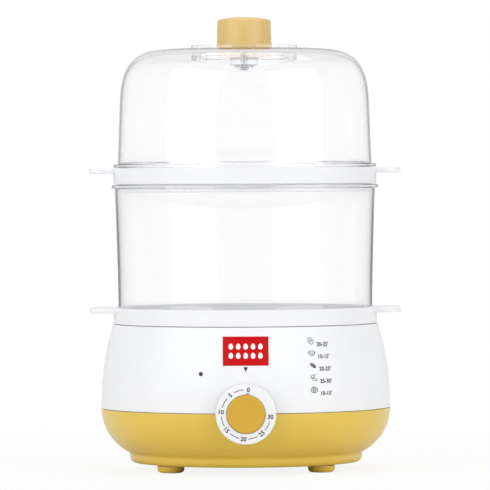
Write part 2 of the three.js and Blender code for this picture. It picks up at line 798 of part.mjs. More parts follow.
function lidKnob() {
  const flangeRadius = knobRadius + knobFlangeOverhang;
  const edgeHeight = knobHeight - knobCrown - knobEdge;
  const ceiling = knobHeight - knobCrown - knobWall;
  const innerRadius = knobTopRadius - knobWall;
  return revolve([
    [0, ceiling],
    [screwHoleRadius, ceiling], [screwHoleRadius, 0], [knobBossRadius, 0],
    [knobBossRadius, ceiling], [innerRadius - knobEdge, ceiling],
    [innerRadius, ceiling - knobEdge], [innerRadius, 0],
    [flangeRadius, 0], [flangeRadius, knobFlangeHeight],
    [knobRadius, knobFlangeHeight + knobFlangeOverhang],
    [knobTopRadius, edgeHeight], [knobTopRadius - knobEdge / 3, edgeHeight + knobEdge * 0.7],
    [knobTopRadius - knobEdge, edgeHeight + knobEdge],
    [knobTopRadius / 2, knobHeight - knobCrown / 4], [0, knobHeight],
  ], knobFacets);
}

function lidWasher() {
  return cut(
    disc(2 * screwHeadRadius, -washerThickness, 0, holeFacets),
    disc(screwHoleRadius, -washerThickness - overrun, overrun),
  );
}

// Heating

function heatingPan() {
  const floorCornerRadius = panFloorRadius - panCorner;
  const inside = [
    [rimBoreRadius - panFlangeGap, panFlangeTop],
    [panMouthRadius, panFlangeTop],
    [panFloorRadius, panFloorTop + panCorner],
    ...arcPoints(floorCornerRadius, panFloorTop + panCorner, panCorner, 0, -90, panCornerSteps).slice(1),
    [0, panFloorTop],
  ];
  const outside = offset(inside, panThickness);
  const bowl = revolve([...inside, ...outside.reverse()]);
  const studs = [-1, 1].map((side) => (
    disc(studRadius, nutTop - nutHeight - studEnd, panUnderside + panThickness / 2)
      .translate(side * studOffset, 0, 0)
  ));
  return join(bowl, ...studs);
}

function panSeal() {
  const middle = (rimBoreRadius + ledgeInnerRadius) / 2;
  return revolve(
    rectangle(middle - sealWidth / 2, sealTop - sealThickness, middle + sealWidth / 2, sealTop),
  );
}

const bracketTabTop = ledgeBottom - bracketBossDepth - seatGap;
const bracketScrewRadius = rimBoreRadius - bracketBossInset;
const bracketToeEnd = panFloorRadius - bracketToe;

function panBracket() {
  const flank = panFloorRadius + panThickness
    + (panMouthRadius - panFloorRadius) * (bracketTabTop - panFloorTop) / panDepth;
  const legInner = flank + bracketLegGap;
  const legOuter = legInner + bracketThickness;
  const tabEnd = bracketScrewRadius + bracketTabReach;
  const toeTop = panUnderside - seatGap;
  const strip = radialPlate([
    [legInner, bracketTabTop], [tabEnd, bracketTabTop], [tabEnd, bracketTabTop - bracketThickness],
    [legOuter, bracketTabTop - bracketThickness], [legOuter, toeTop - bracketThickness],
    [bracketToeEnd, toeTop - bracketThickness], [bracketToeEnd, toeTop], [legInner, toeTop],
  ], bracketWidth);
  const hole = disc(screwHoleRadius, bracketTabTop - bracketThickness - overrun, bracketTabTop + overrun);
  return cut(strip, hole.translate(bracketScrewRadius, 0, 0));
}

function heaterElement() {
  const radius = bracketToeEnd - heaterToeGap - heaterTubeRadius;
  const height = panUnderside - seatGap - heaterTubeRadius;
  const bend = 2 * heaterTubeRadius;
  const from = 90 + heaterOpening / 2;
  const sweep = 360 - heaterOpening;
  const at = (angle, z) => new THREE.Vector3(...polar(radius, angle), z);
  const ends = [from, from + sweep];
  const inset = bend / radius / degrees;
  const path = new THREE.CurvePath();
  path.add(new THREE.LineCurve3(at(ends[0], height - bend - heaterColdEnd), at(ends[0], height - bend)));
  path.add(new THREE.QuadraticBezierCurve3(
    at(ends[0], height - bend), at(ends[0], height), at(ends[0] + inset, height),
  ));
  const arc = steps(heaterArcSteps, (share) => at(ends[0] + inset + share * (sweep - 2 * inset), height));
  path.add(new THREE.CatmullRomCurve3(arc));
  path.add(new THREE.QuadraticBezierCurve3(
    at(ends[1] - inset, height), at(ends[1], height), at(ends[1], height - bend),
  ));
  path.add(new THREE.LineCurve3(at(ends[1], height - bend), at(ends[1], height - bend - heaterColdEnd)));
  const section = new THREE.Shape(steps(heaterTubeFacets, (share) => (
    new THREE.Vector2(...polar(heaterTubeRadius, share * 360))
  )).slice(1));
  return new THREE.ExtrudeGeometry(section, { steps: heaterArcSteps + heaterEndSteps, extrudePath: path });
}

function thermostat() {
  const bottom = thermostatTop - thermostatHeight;
  const flangeRadius = thermostatRadius + thermostatFlangeOverhang;
  const terminals = [-1, 1].map((side) => (
    new THREE.BoxGeometry(terminalWidth, terminalLength, terminalThickness).translate(
      side * terminalPitch / 2,
      thermostatRadius + terminalLength / 2 - overrun,
      thermostatTop - thermostatHeight / 2,
    )
  ));
  return join(
    disc(thermostatRadius, bottom, thermostatTop, holeFacets),
    disc(flangeRadius, thermostatTop - thermostatFlangeThickness, thermostatTop, holeFacets),
    ...terminals,
  );
}

function thermostatStrap() {
  const length = 2 * (studOffset + strapOverhang);
  const outline = roundedRectangle(length, strapWidth, strapWidth / 2 - fitGap);
  const strap = raise(outline, strapTop - strapThickness, strapTop);
  const holes = [-1, 1].map((side) => (
    disc(studRadius + fitGap, strapTop - strapThickness - overrun, strapTop + overrun)
      .translate(side * studOffset, 0, 0)
  ));
  return cut(strap, ...holes);
}

function strapNut() {
  return cut(
    disc(nutRadius, nutTop - nutHeight, nutTop, screwFacets),
    disc(studRadius + fitGap, nutTop - nutHeight - overrun, nutTop + overrun),
  );
}

function thermalFuse() {
  const body = revolve([
    [0, -fuseLength / 2], [fuseRadius / 2, -fuseLength / 2], [fuseRadius, fuseRadius - fuseLength / 2],
    [fuseRadius, fuseLength / 2 - fuseRadius], [fuseRadius / 2, fuseLength / 2], [0, fuseLength / 2],
  ], pinFacets);
  return body.rotateX(Math.PI / 2).translate(fuseOffset, 0, strapTop + seatGap + fuseRadius);
}

// Timer, built along +Z towards the dial, with z = 0 on the pot's axis

function timerBody() {
  const outline = roundedRectangle(timerWidth, timerHeight, timerCorner);
  const body = raise(outline, timerFront - timerDepth, timerFront);
  const boreBottom = timerFront - shaftJournal - seatGap;
  const bore = disc(shaftRadius + fitGap, boreBottom, timerFront + overrun, holeFacets);
  const holes = [-1, 1].map((side) => (
    disc(timerScrewShankRadius + fitGap, timerFront - screwEngagement - fitGap, timerFront + overrun)
      .translate(side * timerScrewOffset, 0, 0)
  ));
  const terminals = [-1, 1].map((side) => (
    new THREE.BoxGeometry(terminalThickness, terminalWidth, terminalLength).translate(
      side * terminalPitch,
      0,
      timerFront - timerDepth - terminalLength / 2 + overrun,
    )
  ));
  return cut(join(body, ...terminals), bore, ...holes);
}

function timerPlate() {
  const outline = roundedRectangle(timerPlateWidth, timerPlateHeight, timerPlateCorner);
  const plate = raise(outline, timerPlateBack, timerPlateFront).translate(0, timerPlateRise, 0);
  const through = (radius, x, y, facets) => (
    disc(radius, timerPlateBack - overrun, timerPlateFront + overrun, facets).translate(x, y, 0)
  );
  return cut(
    plate,
    through(shaftRadius + shaftHoleGap, 0, 0, holeFacets),
    ...[-1, 1].map((side) => through(timerScrewShankRadius + fitGap, side * timerScrewOffset, 0)),
    ...[-1, 1].map((side) => through(screwHoleRadius, side * plateScrewOffset, plateScrewRise)),
  );
}

const dialBack = bellyRadius + dialGap;
const pocketFloor = dialDepth + capProud - capThickness - seatGap;
const dialCeiling = pocketFloor - dialWall;
const shaftTip = dialBack + pocketFloor - dialWall / 2 - seatGap;

function flattened(radius, bottom, top, flatBottom, flatGap) {
  const flat = radius - shaftFlatDepth;
  const cutter = new THREE.BoxGeometry(2 * radius + overrun, radius, top - flatBottom + overrun)
    .translate(0, flat + flatGap + radius / 2, (flatBottom + top + overrun) / 2);
  return cut(disc(radius, bottom, top, holeFacets), cutter);
}

function timerShaft() {
  return flattened(shaftRadius, timerFront - shaftJournal, shaftTip, shaftTip - shaftFlatLength, 0);
}

// Dial, built from z = 0 at its back

function timerDial() {
  const outline = new THREE.Shape(Array.from({ length: 2 * dialTeeth }, (_, i) => {
    const radius = dialRadius - (i % 2) * dialToothDepth;
    return new THREE.Vector2(...polar(radius, i * 180 / dialTeeth));
  }));
  const envelope = revolve([
    [0, 0], [dialRadius + overrun, 0], [dialRadius + overrun, dialDepth - dialChamfer - overrun],
    [dialRadius - dialChamfer, dialDepth], [0, dialDepth],
  ], dialTeeth);
  const blank = within(raise(outline, 0, dialDepth), envelope);
  const cavityRadius = dialRadius - dialToothDepth - dialWall;
  const cavity = revolve([
    [dialHubRadius, -overrun], [cavityRadius, -overrun],
    [cavityRadius, dialCeiling], [dialHubRadius, dialCeiling],
  ], knobFacets);
  const boreTop = pocketFloor - dialWall / 2;
  const bore = flattened(shaftRadius + fitGap, -overrun, boreTop, -2 * overrun, 0);
  const pocket = raise(capOutline(fitGap), pocketFloor, dialDepth + overrun, capFacets);
  return cut(blank, cavity, bore, pocket);
}

// A circle with a small pointing nib at its top, grown by a margin
function capOutline(margin) {
  const radius = capRadius + margin;
  const halfWidth = nibHalfWidth + margin;
  const lean = Math.asin(halfWidth / radius);
  const shape = new THREE.Shape();
  shape.absarc(0, 0, radius, Math.PI / 2 + lean, 2.5 * Math.PI - lean);
  shape.lineTo(nibTipHalfWidth + margin, radius + nibReach);
  shape.lineTo(-nibTipHalfWidth - margin, radius + nibReach);
  return shape;
}

function dialCap() {
  const bottom = pocketFloor + seatGap;
  const settings = {
    depth: capThickness - 2 * capEdge,
    bevelThickness: capEdge,
    bevelSize: capEdge,
    bevelOffset: -capEdge,
    bevelSegments: 1,
    curveSegments: capFacets,
  };
  return new THREE.ExtrudeGeometry(capOutline(0), settings).translate(0, 0, bottom + capEdge);
}

// Indicator, built along +Z outwards, with z = 0 on the pot's axis

const lensFlangeTop = upperOuterRadius(indicatorHeight) - housingWall - 2 * seatGap;

function indicatorLens() {
  const flangeBottom = lensFlangeTop - lensFlangeThickness;
  return revolve([
    [0, flangeBottom], [lensFlangeRadius, flangeBottom], [lensFlangeRadius, lensFlangeTop],
    [lensRadius, lensFlangeTop], [lensRadius, upperOuterRadius(indicatorHeight)],
    [0, upperOuterRadius(indicatorHeight) + lensProud],
  ], pinFacets);
}

function neonLamp() {
  const top = lensFlangeTop - lensFlangeThickness - seatGap;
  return revolve([
    [0, top - lampLength], [lampRadius, top - lampLength], [lampRadius, top - lampRadius],
    [lampRadius / 2, top], [0, top],
  ], pinFacets);
}

// Terminal block and cord gland

function terminalBlock() {
  const bottom = underside + housingWall + blockBossHeight + seatGap;
  const outline = roundedRectangle(blockWidth, blockDepth, blockCorner);
  const body = raise(outline, bottom, bottom + blockHeight);
  const hole = disc(screwHoleRadius, bottom - overrun, bottom + blockHeight + overrun);
  const wireHoles = [-1, 1].map((side) => (
    disc(wireHoleRadius, -blockDepth, blockDepth)
      .rotateX(Math.PI / 2)
      .translate(side * wireHolePitch / 2, 0, bottom + blockHeight / 2)
  ));
  return cut(body, hole, ...wireHoles);
}

function cordGland() {
  const flangeBack = glandPadFace + seatGap;
  const flangeFront = flangeBack + glandFlangeThickness;
  const tip = flangeFront + glandSleeveLength;
  return revolve([
    [glandBoreRadius, glandInnerEnd], [glandNeckRadius, glandInnerEnd],
    [glandNeckRadius, flangeBack], [glandFlangeRadius, flangeBack], [glandFlangeRadius, flangeFront],
    [glandNeckRadius, flangeFront], [glandSleeveTipRadius, tip], [glandBoreRadius, tip],
  ], holeFacets);
}

// Assembly

function place(mesh, x, y, z, turnX = 0) {
  mesh.position.set(x, y, z);
  mesh.rotation.x = turnX;
  return mesh;
}

function atFront(height, turn, ...meshes) {
  const facing = new THREE.Group();
  facing.rotation.x = Math.PI / 2;
  facing.position.z = height;
  facing.add(...meshes);
  const around = new THREE.Group();
  around.rotation.z = -turn * degrees;
  around.add(facing);
  return around;
}

const base = new THREE.Group();
base.add(
  pieceMesh('upper_housing', whitePlastic, upperHousing()),
  pieceMesh('lower_housing', yellowPlastic, lowerHousing()),
  pieceMesh('heating_pan', coatedPan, heatingPan()),
  pieceMesh('pan_seal', rubber, panSeal()),
  pieceMesh('heater_element', steel, heaterElement()),
  pieceMesh('thermostat', darkPlastic, thermostat()),
  pieceMesh('thermostat_strap', steel, thermostatStrap()),
  pieceMesh('thermal_fuse', glass, thermalFuse()),
  place(pieceMesh('terminal_block', whitePlastic, terminalBlock()), 0, blockOffset, 0),
);
[-1, 1].forEach((side, i) => {
  base.add(place(pieceMesh(`strap_nut_${i + 1}`, steel, strapNut()), side * studOffset, 0, 0));
});
footPlaces().forEach(([x, y], i) => {
  base.add(place(pieceMesh(`foot_${i + 1}`, yellowPlastic, foot()), x, y, 0));
});
postAngles.forEach((angle, i) => {
  const headSeat = postTowerTop - postTowerWeb - seatGap;
  const length = postTowerTop + seatGap + postScrewEngagement - headSeat;
  const long = pieceMesh(`housing_screw_${i + 1}`, steel, screw(length));
  base.add(place(long, ...polar(postOffset, angle), headSeat, Math.PI));
});
bracketAngles.forEach((angle, i) => {
  const bracket = pieceMesh(`pan_bracket_${i + 1}`, steel, panBracket());
  bracket.rotation.z = angle * degrees;
  const headSeat = bracketTabTop - bracketThickness - seatGap;
  const length = bracketThickness + 2 * seatGap + screwEngagement - fitGap;
  const fastener = pieceMesh(`pan_bracket_screw_${i + 1}`, steel, screw(length));
  base.add(bracket, place(fastener, ...polar(bracketScrewRadius, angle), headSeat, Math.PI));
});
const blockScrewSeat = underside + housingWall + blockBossHeight + blockHeight + 2 * seatGap;
const blockScrewLength = blockScrewSeat - underside - housingWall / 2 - fitGap;
base.add(place(
  pieceMesh('terminal_screw', steel, screw(blockScrewLength)),
  0, blockOffset, blockScrewSeat,
));
base.add(place(
  pieceMesh('cord_gland', darkPlastic, cordGland()),
  0, 0, glandHeight, -Math.PI / 2,
));

const timer = atFront(
  dialHeight,
  0,
  pieceMesh('timer_body', greyPlastic, timerBody()),
  pieceMesh('timer_plate', steel, timerPlate()),
);
base.add(timer);
[-1, 1].forEach((side, i) => {
  const bodyScrew = pieceMesh(`timer_screw_${i + 1}`, steel, screw(
    timerPlateThickness + 2 * seatGap + screwEngagement - fitGap,
    timerScrewShankRadius,
    timerScrewHeadRadius,
    timerScrewHeadHeight,
  ));
  const plateScrew = pieceMesh(`plate_screw_${i + 1}`, steel, screw(
    timerPlateThickness + 2 * seatGap + plateScrewEngagement - fitGap,
  ));
  base.add(atFront(
    dialHeight,
    0,
    place(bodyScrew, side * timerScrewOffset, 0, timerPlateFront + seatGap),
    place(plateScrew, side * plateScrewOffset, plateScrewRise, timerPlateBack - seatGap, Math.PI),
  ));
});
base.add(atFront(
  indicatorHeight,
  indicatorTurn,
  pieceMesh('indicator_lens', darkPlastic, indicatorLens()),
  pieceMesh('neon_lamp', glass, neonLamp()),
));

const dial = new THREE.Group();
dial.rotation.z = -dialRestTurn * degrees;
dial.add(
  pieceMesh('timer_shaft', steel, timerShaft()),
  place(pieceMesh('timer_dial', whitePlastic, timerDial()), 0, 0, dialBack),
  place(pieceMesh('dial_cap', capPlastic, dialCap()), 0, 0, dialBack),
);

const lid = new THREE.Group();
lid.position.z = lidSeat;
lid.add(
  pieceMesh('lid_cover', clearPlastic, lidCover()),
  place(pieceMesh('lid_knob', paleYellowPlastic, lidKnob()), 0, 0, lidKnobSeat),
  place(pieceMesh('lid_knob_washer', steel, lidWasher()), 0, 0, lidBossBottom - seatGap),
  place(
    pieceMesh('lid_knob_screw', steel, screw(knobScrewLength)),
    0, 0, lidBossBottom - 2 * seatGap - washerThickness, Math.PI,
  ),
);

const eggBoiler = new THREE.Group();
eggBoiler.add(
  base,
  atFront(dialHeight, 0, dial),
  place(pieceMesh('lower_egg_tray', whitePlastic, eggTray()), 0, 0, lowerTraySeat),
  place(pieceMesh('steam_ring', clearPlastic, steamRing()), 0, 0, ringSeat),
  place(pieceMesh('upper_egg_tray', whitePlastic, eggTray()), 0, 0, upperTraySeat),
  lid,
);

export default eggBoiler;
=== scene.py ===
# Two-tier electric egg boiler: fine surfaces, prints, materials, studio and camera around the packed
# frame. Metres, +Z up, and the dial faces -Y.

import json
from functools import partial
from itertools import product
from math import asin, atan2, cos, degrees, radians, sin, sqrt, tan, tau

import bmesh
import bpy
from mathutils import Matrix, Vector


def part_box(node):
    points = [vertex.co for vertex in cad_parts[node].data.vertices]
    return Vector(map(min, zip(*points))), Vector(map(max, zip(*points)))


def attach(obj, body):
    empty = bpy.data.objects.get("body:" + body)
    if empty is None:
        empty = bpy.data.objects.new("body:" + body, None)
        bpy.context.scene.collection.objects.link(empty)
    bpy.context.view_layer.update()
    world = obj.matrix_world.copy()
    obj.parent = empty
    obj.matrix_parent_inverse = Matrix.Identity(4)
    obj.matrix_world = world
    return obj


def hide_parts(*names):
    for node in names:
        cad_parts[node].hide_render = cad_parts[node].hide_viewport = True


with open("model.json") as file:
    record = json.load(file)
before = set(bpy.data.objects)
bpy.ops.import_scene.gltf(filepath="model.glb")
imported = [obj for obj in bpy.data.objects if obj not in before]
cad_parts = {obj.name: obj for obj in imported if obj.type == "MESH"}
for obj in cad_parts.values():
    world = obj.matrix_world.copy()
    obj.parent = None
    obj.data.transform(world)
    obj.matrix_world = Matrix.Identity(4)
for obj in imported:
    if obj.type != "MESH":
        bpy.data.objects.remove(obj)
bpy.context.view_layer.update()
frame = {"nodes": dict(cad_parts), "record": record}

record = frame["record"]
BODIES = {node: body for body, nodes in record["behaviour"]["bodies"].items() for node in nodes}
SLOTS = {row["node"]: row["material_slot"] for row in record["subparts"]}


def low(node):
    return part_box(node)[0]


def high(node):
    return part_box(node)[1]


def middle(node):
    return (low(node) + high(node)) / 2


# Gaps
GAP = 0.0003
SPIGOT_GAP = 0.0009
NEST_GAP = 0.0007
OVERRUN = 0.002

# Roundness
FINE = 192
COARSE = 48
ARC_STEPS = 6
CURVE_STEPS = 28
FILLET_SHARE = 0.48
SHARP_ANGLE = 34
ON_AXIS = 1e-7

# Egg tray
STACK_RADIUS = high("lower_egg_tray").y
TAB_END = high("lower_egg_tray").x
SPIGOT_DEPTH = 0.0044
LOWER_SEAT = low("lower_egg_tray").z + SPIGOT_DEPTH
UPPER_SEAT = low("upper_egg_tray").z + SPIGOT_DEPTH
BAND_HEIGHT = high("lower_egg_tray").z - LOWER_SEAT
BAND_WALL = 0.002
FLOOR_LIFT = 0.002
FLOOR_THICKNESS = 0.0018
SPIGOT_STEP = 0.0014
TRAY_RIB_DEPTH = 0.003
TRAY_EDGE = 0.0006

# Clear ring
RING_BOTTOM = low("steam_ring").z
RING_TOP = high("steam_ring").z
RING_RADIUS = high("steam_ring").y
CLEAR_EDGE = 0.0006

# Lid
LID_SKIRT = 0.0044
LID_SEAT = low("lid_cover").z + LID_SKIRT
LID_HEIGHT = high("lid_cover").z - LID_SEAT
LID_WALL_SHARES = [(1, 0.045), (0.99, 0.25), (0.985, 0.536), (0.974, 0.636)]
LID_SHOULDER_SHARES = [(0.974, 0.636), (0.949, 0.861), (0.848, 0.952), (0.673, 0.966)]
LID_CROWN_SHARES = [(0.673, 0.966), (0.6, 0.972), (0.55, 0.975), (0.484, 0.977)]

# Base housings
SEAM_HEIGHT = high("lower_housing").z + GAP / 2
RIM_HEIGHT = high("upper_housing").z
BELLY_RADIUS = high("upper_housing").y
UNDERSIDE = low("lower_housing").z
SHELL_WALL = 0.0024
RIM_OVERHANG = 0.0004
RIM_RADIUS = STACK_RADIUS + RIM_OVERHANG
SEAM_EDGE = 0.00035
SHOULDER_POWER = 2.2
BELLY_CURVE_REACH = 0.0296
BELLY_CURVE_SHARE = 0.9
PLINTH_TOP = UNDERSIDE + 0.0056
LIP_DEPTH = 0.0024
LIP_WALL = 0.0015
LEDGE_THICKNESS = 0.002
LEDGE_WIDTH = 0.0085

# Heating pan and its seal
PAN_FLANGE_TOP = LOWER_SEAT - SPIGOT_DEPTH - GAP
PAN_THICKNESS = 0.001
PAN_DEPTH = 0.018
PAN_MOUTH_INSET = 0.0024
PAN_FLOOR_SHARE = 0.845
SEAL_THICKNESS = 0.0008
SEAL_WIDTH = 0.005

# Posts, towers and brackets in the base
POST_ANGLES = [90, 200, 340]
POST_INSET = 0.0083
TOWER_HEIGHT = 0.016
BRACKET_ANGLES = [30, 150, 270]

# Screws
SHANK_RADIUS = 0.0015
HEAD_RADIUS = 0.0028
HEAD_HEIGHT = 0.0018
TIMER_HEAD = (0.0012, 0.0023, 0.0014)
HOLE_RADIUS = SHANK_RADIUS + GAP

# Feet
FEET = ("foot_1", "foot_2", "foot_3", "foot_4")
STEM_RADIUS = 0.0029

# Dial
DIAL_HEIGHT = middle("timer_dial").z
DIAL_BACK = -high("timer_dial").y
DIAL_DEPTH = -low("timer_dial").y - DIAL_BACK
DIAL_RADIUS = 0.0174
DIAL_TOOTH_DEPTH = 0.00045
DIAL_REST_TURN = 5.8
SHAFT_RADIUS = 0.003
SHAFT_HOLE_GAP = 0.0015
CAP_RADIUS = 0.0109
CAP_THICKNESS = 0.0024
CAP_PROUD = -low("dial_cap").y - DIAL_BACK - DIAL_DEPTH
CAP_EDGE = 0.0007
CAP_DISH = 0.00035
CAP_DISH_STEPS = [(2.2, 0), (3.6, 0.5), (5, 1)]

# Indicator
LENS_HEIGHT = middle("indicator_lens").z
LENS_TURN = 17.9
LENS_RADIUS = 0.00115

# Cord gland
GLAND_HEIGHT = middle("cord_gland").z
NECK_RADIUS = 0.005
GLAND_LENGTH = 0.006
GLAND_GROOVE_SHAPE = [(0, 0), (0.15, 1), (0.35, 1), (0.5, 0)]

# Prints
PRINT_PROUD = 0.00004
PRINT_SUNK = 0.00003
DIAL_MINUTES = range(0, 31, 5)
DIGIT_LEANS = {5: 45, 15: -45, 25: 45}

# Sizes that follow
BAND_BORE = STACK_RADIUS - BAND_WALL
SPIGOT_RADIUS = BAND_BORE - SPIGOT_STEP
BORE_RADIUS = SPIGOT_RADIUS + SPIGOT_GAP
NEST_RADIUS = BAND_BORE - NEST_GAP
FLOOR_TOP = FLOOR_LIFT + FLOOR_THICKNESS
LEDGE_TOP = PAN_FLANGE_TOP - PAN_THICKNESS - GAP - SEAL_THICKNESS - GAP
LEDGE_BOTTOM = LEDGE_TOP - LEDGE_THICKNESS
LEDGE_BORE = BORE_RADIUS - LEDGE_WIDTH
PAN_MOUTH_RADIUS = LEDGE_BORE - PAN_MOUTH_INSET
PAN_FLOOR_RADIUS = PAN_MOUTH_RADIUS * PAN_FLOOR_SHARE
PAN_FLOOR_TOP = PAN_FLANGE_TOP - PAN_DEPTH
PAN_UNDERSIDE = PAN_FLOOR_TOP - PAN_THICKNESS
TOWER_TOP = UNDERSIDE + TOWER_HEIGHT
POCKET_FLOOR = DIAL_DEPTH + CAP_PROUD - CAP_THICKNESS - GAP


# Outlines, as lists of (radius, height)

def polar(radius, angle):
    return radius * cos(radians(angle)), radius * sin(radians(angle))


def between(start, end, place, steps=CURVE_STEPS):
    """place(value) for evenly spaced values from start to end."""
    return [place(start + (end - start) * i / steps) for i in range(steps + 1)]


def arc(centre, radius, start, end, steps=ARC_STEPS):
    """Points from one angle to another, in degrees."""
    spokes = between(start, end, partial(polar, radius), steps)
    return [(centre[0] + x, centre[1] + y) for x, y in spokes]


def edged(edge, *corners):
    """Corners that all have one edge radius."""
    return [(*corner, edge) for corner in corners]


def rounded(corners):
    """Rounds each corner that has a third value, its edge radius."""
    outline = []
    for i, (x, y, *radius) in enumerate(corners):
        if not radius:
            outline.append((x, y))
            continue
        corner = Vector((x, y))
        before = Vector(corners[i - 1][:2]) - corner
        after = Vector(corners[(i + 1) % len(corners)][:2]) - corner
        half = before.angle(after) / 2
        shorter = min(before.length * FILLET_SHARE, after.length * FILLET_SHARE)
        reach = min(radius[0] / tan(half), shorter)
        fillet = reach * tan(half)
        inward = (before.normalized() + after.normalized()).normalized()
        centre = corner + inward * fillet / sin(half)
        spokes = [corner + side.normalized() * reach - centre for side in (before, after)]
        start, end = (degrees(atan2(spoke.y, spoke.x)) for spoke in spokes)
        outline += arc(centre, fillet, start, start + (end - start + 180) % 360 - 180)
    return outline


def bezier(points, steps=CURVE_STEPS):
    def point(share):
        rest = 1 - share
        weights = rest ** 3, 3 * share * rest ** 2, 3 * share ** 2 * rest, share ** 3
        return tuple(sum(w * p[axis] for w, p in zip(weights, points)) for axis in (0, 1))

    return between(0, 1, point, steps)


def skin(radius_at, start, end, inset=0):
    """The side of a turned piece from one height to another, or its inside at a wall's inset."""
    return between(start, end, lambda height: (radius_at(height) - inset, height))


def offset(outline, wall):
    """Moves an open outline to its left by a wall's thickness, mitred at its corners."""
    def left(first, second):
        return Vector((first[1] - second[1], second[0] - first[0])).normalized()

    last = len(outline) - 1
    moved = []
    for i, (x, y) in enumerate(outline):
        before = left(outline[max(i - 1, 0)], outline[max(i, 1)])
        after = left(outline[min(i, last - 1)], outline[min(i + 1, last)])
        shift = (before + after) * wall / (1 + before.dot(after))
        moved.append((x + shift.x, y + shift.y))
    return moved


# Solids

def in_scene(name, data):
    made = bpy.data.objects.new(name, data)
    bpy.context.scene.collection.objects.link(made)
    return made


def as_object(mesh, name="part"):
    bmesh.ops.recalc_face_normals(mesh, faces=mesh.faces)
    data = bpy.data.meshes.new(name)
    mesh.to_mesh(data)
    mesh.free()
    return in_scene(name, data)


def bridge(mesh, rings, closed=False):
    """Fills in between rings of as many vertices each, or of only one."""
    for first, second in zip(rings, rings[1:] + (rings[:1] if closed else [])):
        for i in range(max(len(first), len(second))):
            turns = (first, i), (first, i + 1), (second, i + 1), (second, i)
            corners = list(dict.fromkeys(ring[j % len(ring)] for ring, j in turns))
            if len(corners) > 2:
                mesh.faces.new(corners)


def lathe(outline, segments=FINE):
    """Turns an outline about the Z axis. It closes on itself, or starts and ends on the axis."""
    mesh = bmesh.new()
    rings = []
    for radius, height in rounded(outline):
        turns = [tau * i / segments for i in range(1 if radius < ON_AXIS else segments)]
        rings.append([
            mesh.verts.new((radius * cos(turn), radius * sin(turn), height)) for turn in turns
        ])
    bridge(mesh, rings, closed=True)
    return as_object(mesh)


def fill(mesh, layers):
    """Joins outlines of as many points each, given as (points, height), and closes both ends."""
    rings = [[mesh.verts.new((*point, height)) for point in points] for points, height in layers]
    bridge(mesh, rings)
    mesh.faces.new(rings[0])
    mesh.faces.new(rings[-1])
    return mesh


def loft(layers):
    return as_object(fill(bmesh.new(), layers))


def slab(width, depth, corner, levels):
    """A rounded rectangle lofted through levels of (growth, height)."""
    def outline(grow):
        points = []
        for x, y, start in ((1, 1, 0), (-1, 1, 90), (-1, -1, 180), (1, -1, 270)):
            centre = (x * (width / 2 - corner), y * (depth / 2 - corner))
            points += arc(centre, corner + grow, start, start + 90)
        return points

    return loft([(outline(grow), height) for grow, height in levels])


def disc(radius, bottom, top, x=0, y=0, segments=COARSE):
    outline = [(0, bottom), (radius, bottom), (radius, top), (0, top)]
    return move(lathe(outline, segments), x, y)


def block(low_corner, high_corner):
    (x0, y0, z0), (x1, y1, z1) = low_corner, high_corner
    return loft([([(x0, y0), (x1, y0), (x1, y1), (x0, y1)], z) for z in (z0, z1)])


def move(piece, x=0, y=0, z=0, turn=0, tilt=0):
    """Tilts a piece about X and turns it about Z, both in degrees, and then shifts it."""
    turned = Matrix.Rotation(radians(turn), 4, "Z") @ Matrix.Rotation(radians(tilt), 4, "X")
    piece.data.transform(Matrix.Translation((x, y, z)) @ turned)
    return piece


def to_front(piece, height, turn=0):
    """Turns a piece built along +Z to face the front, or by an angle to its left."""
    return move(move(piece, tilt=90), z=height, turn=-turn)


def to_rear(piece, height):
    return move(piece, tilt=-90, z=height)


def evaluated(piece):
    depsgraph = bpy.context.evaluated_depsgraph_get()
    return bpy.data.meshes.new_from_object(piece.evaluated_get(depsgraph))


def combine(operation, piece, *tools):
    """Joins, cuts or trims a piece with tools, which are used up."""
    for tool in tools:
        step = piece.modifiers.new("combine", "BOOLEAN")
        step.solver, step.operation, step.object = "MANIFOLD", operation, tool
    piece.data = evaluated(piece)
    piece.modifiers.clear()
    for tool in tools:
        bpy.data.objects.remove(tool)
    return piece


join = partial(combine, "UNION")
cut = partial(combine, "DIFFERENCE")
within = partial(combine, "INTERSECT")


# Materials

WHITE = (1, 1, 1, 1)


def add(tree, kind, values=None, **settings):
    """Adds a shader node, whose inputs are set or linked to a socket, and gives its outputs."""
    node = tree.nodes.new("ShaderNode" + kind)
    for key, value in settings.items():
        setattr(node, key, value)
    for key, value in (values or {}).items():
        if isinstance(value, bpy.types.NodeSocket):
            tree.links.new(value, node.inputs[key])
        else:
            node.inputs[key].default_value = value
    return node.outputs


def maths(tree, operation, *values, kind="Math", output=0):
    return add(tree, kind, dict(enumerate(values)), operation=operation)[output]


vector = partial(maths, kind="VectorMath")
measured = partial(vector, output=1)


def ramp(tree, value, start, end, first=0, last=1, kind="LINEAR"):
    """Runs from first to last while a value runs from start to end."""
    ends = dict(enumerate((value, start, end, first, last)))
    return add(tree, "MapRange", ends, interpolation_type=kind)[0]


def noise(tree, scale, detail=2, where=None):
    place = where or add(tree, "TexCoord")["Object"]
    return add(tree, "TexNoise", {"Vector": place, "Scale": scale, "Detail": detail})[0]


def spread(tree, value, first=0, last=1):
    """Stretches the middle of a noise over a range."""
    return ramp(tree, value, 0.3, 0.7, first, last)


def tinted(tree, factor, first, second):
    return add(tree, "Mix", {0: factor, 6: first, 7: second}, data_type="RGBA")[2]


def mixed(tree, factor, first, second):
    return add(tree, "MixShader", {0: factor, 1: first, 2: second})[0]


def bumped(tree, height, distance, below=None):
    values = {"Height": height, "Distance": distance, "Strength": 1}
    return add(tree, "Bump", values | ({"Normal": below} if below else {}))[0]


def flattened(tree):
    """The place in the object as seen from above."""
    return vector(tree, "MULTIPLY", add(tree, "TexCoord")["Object"], (1, 1, 0))


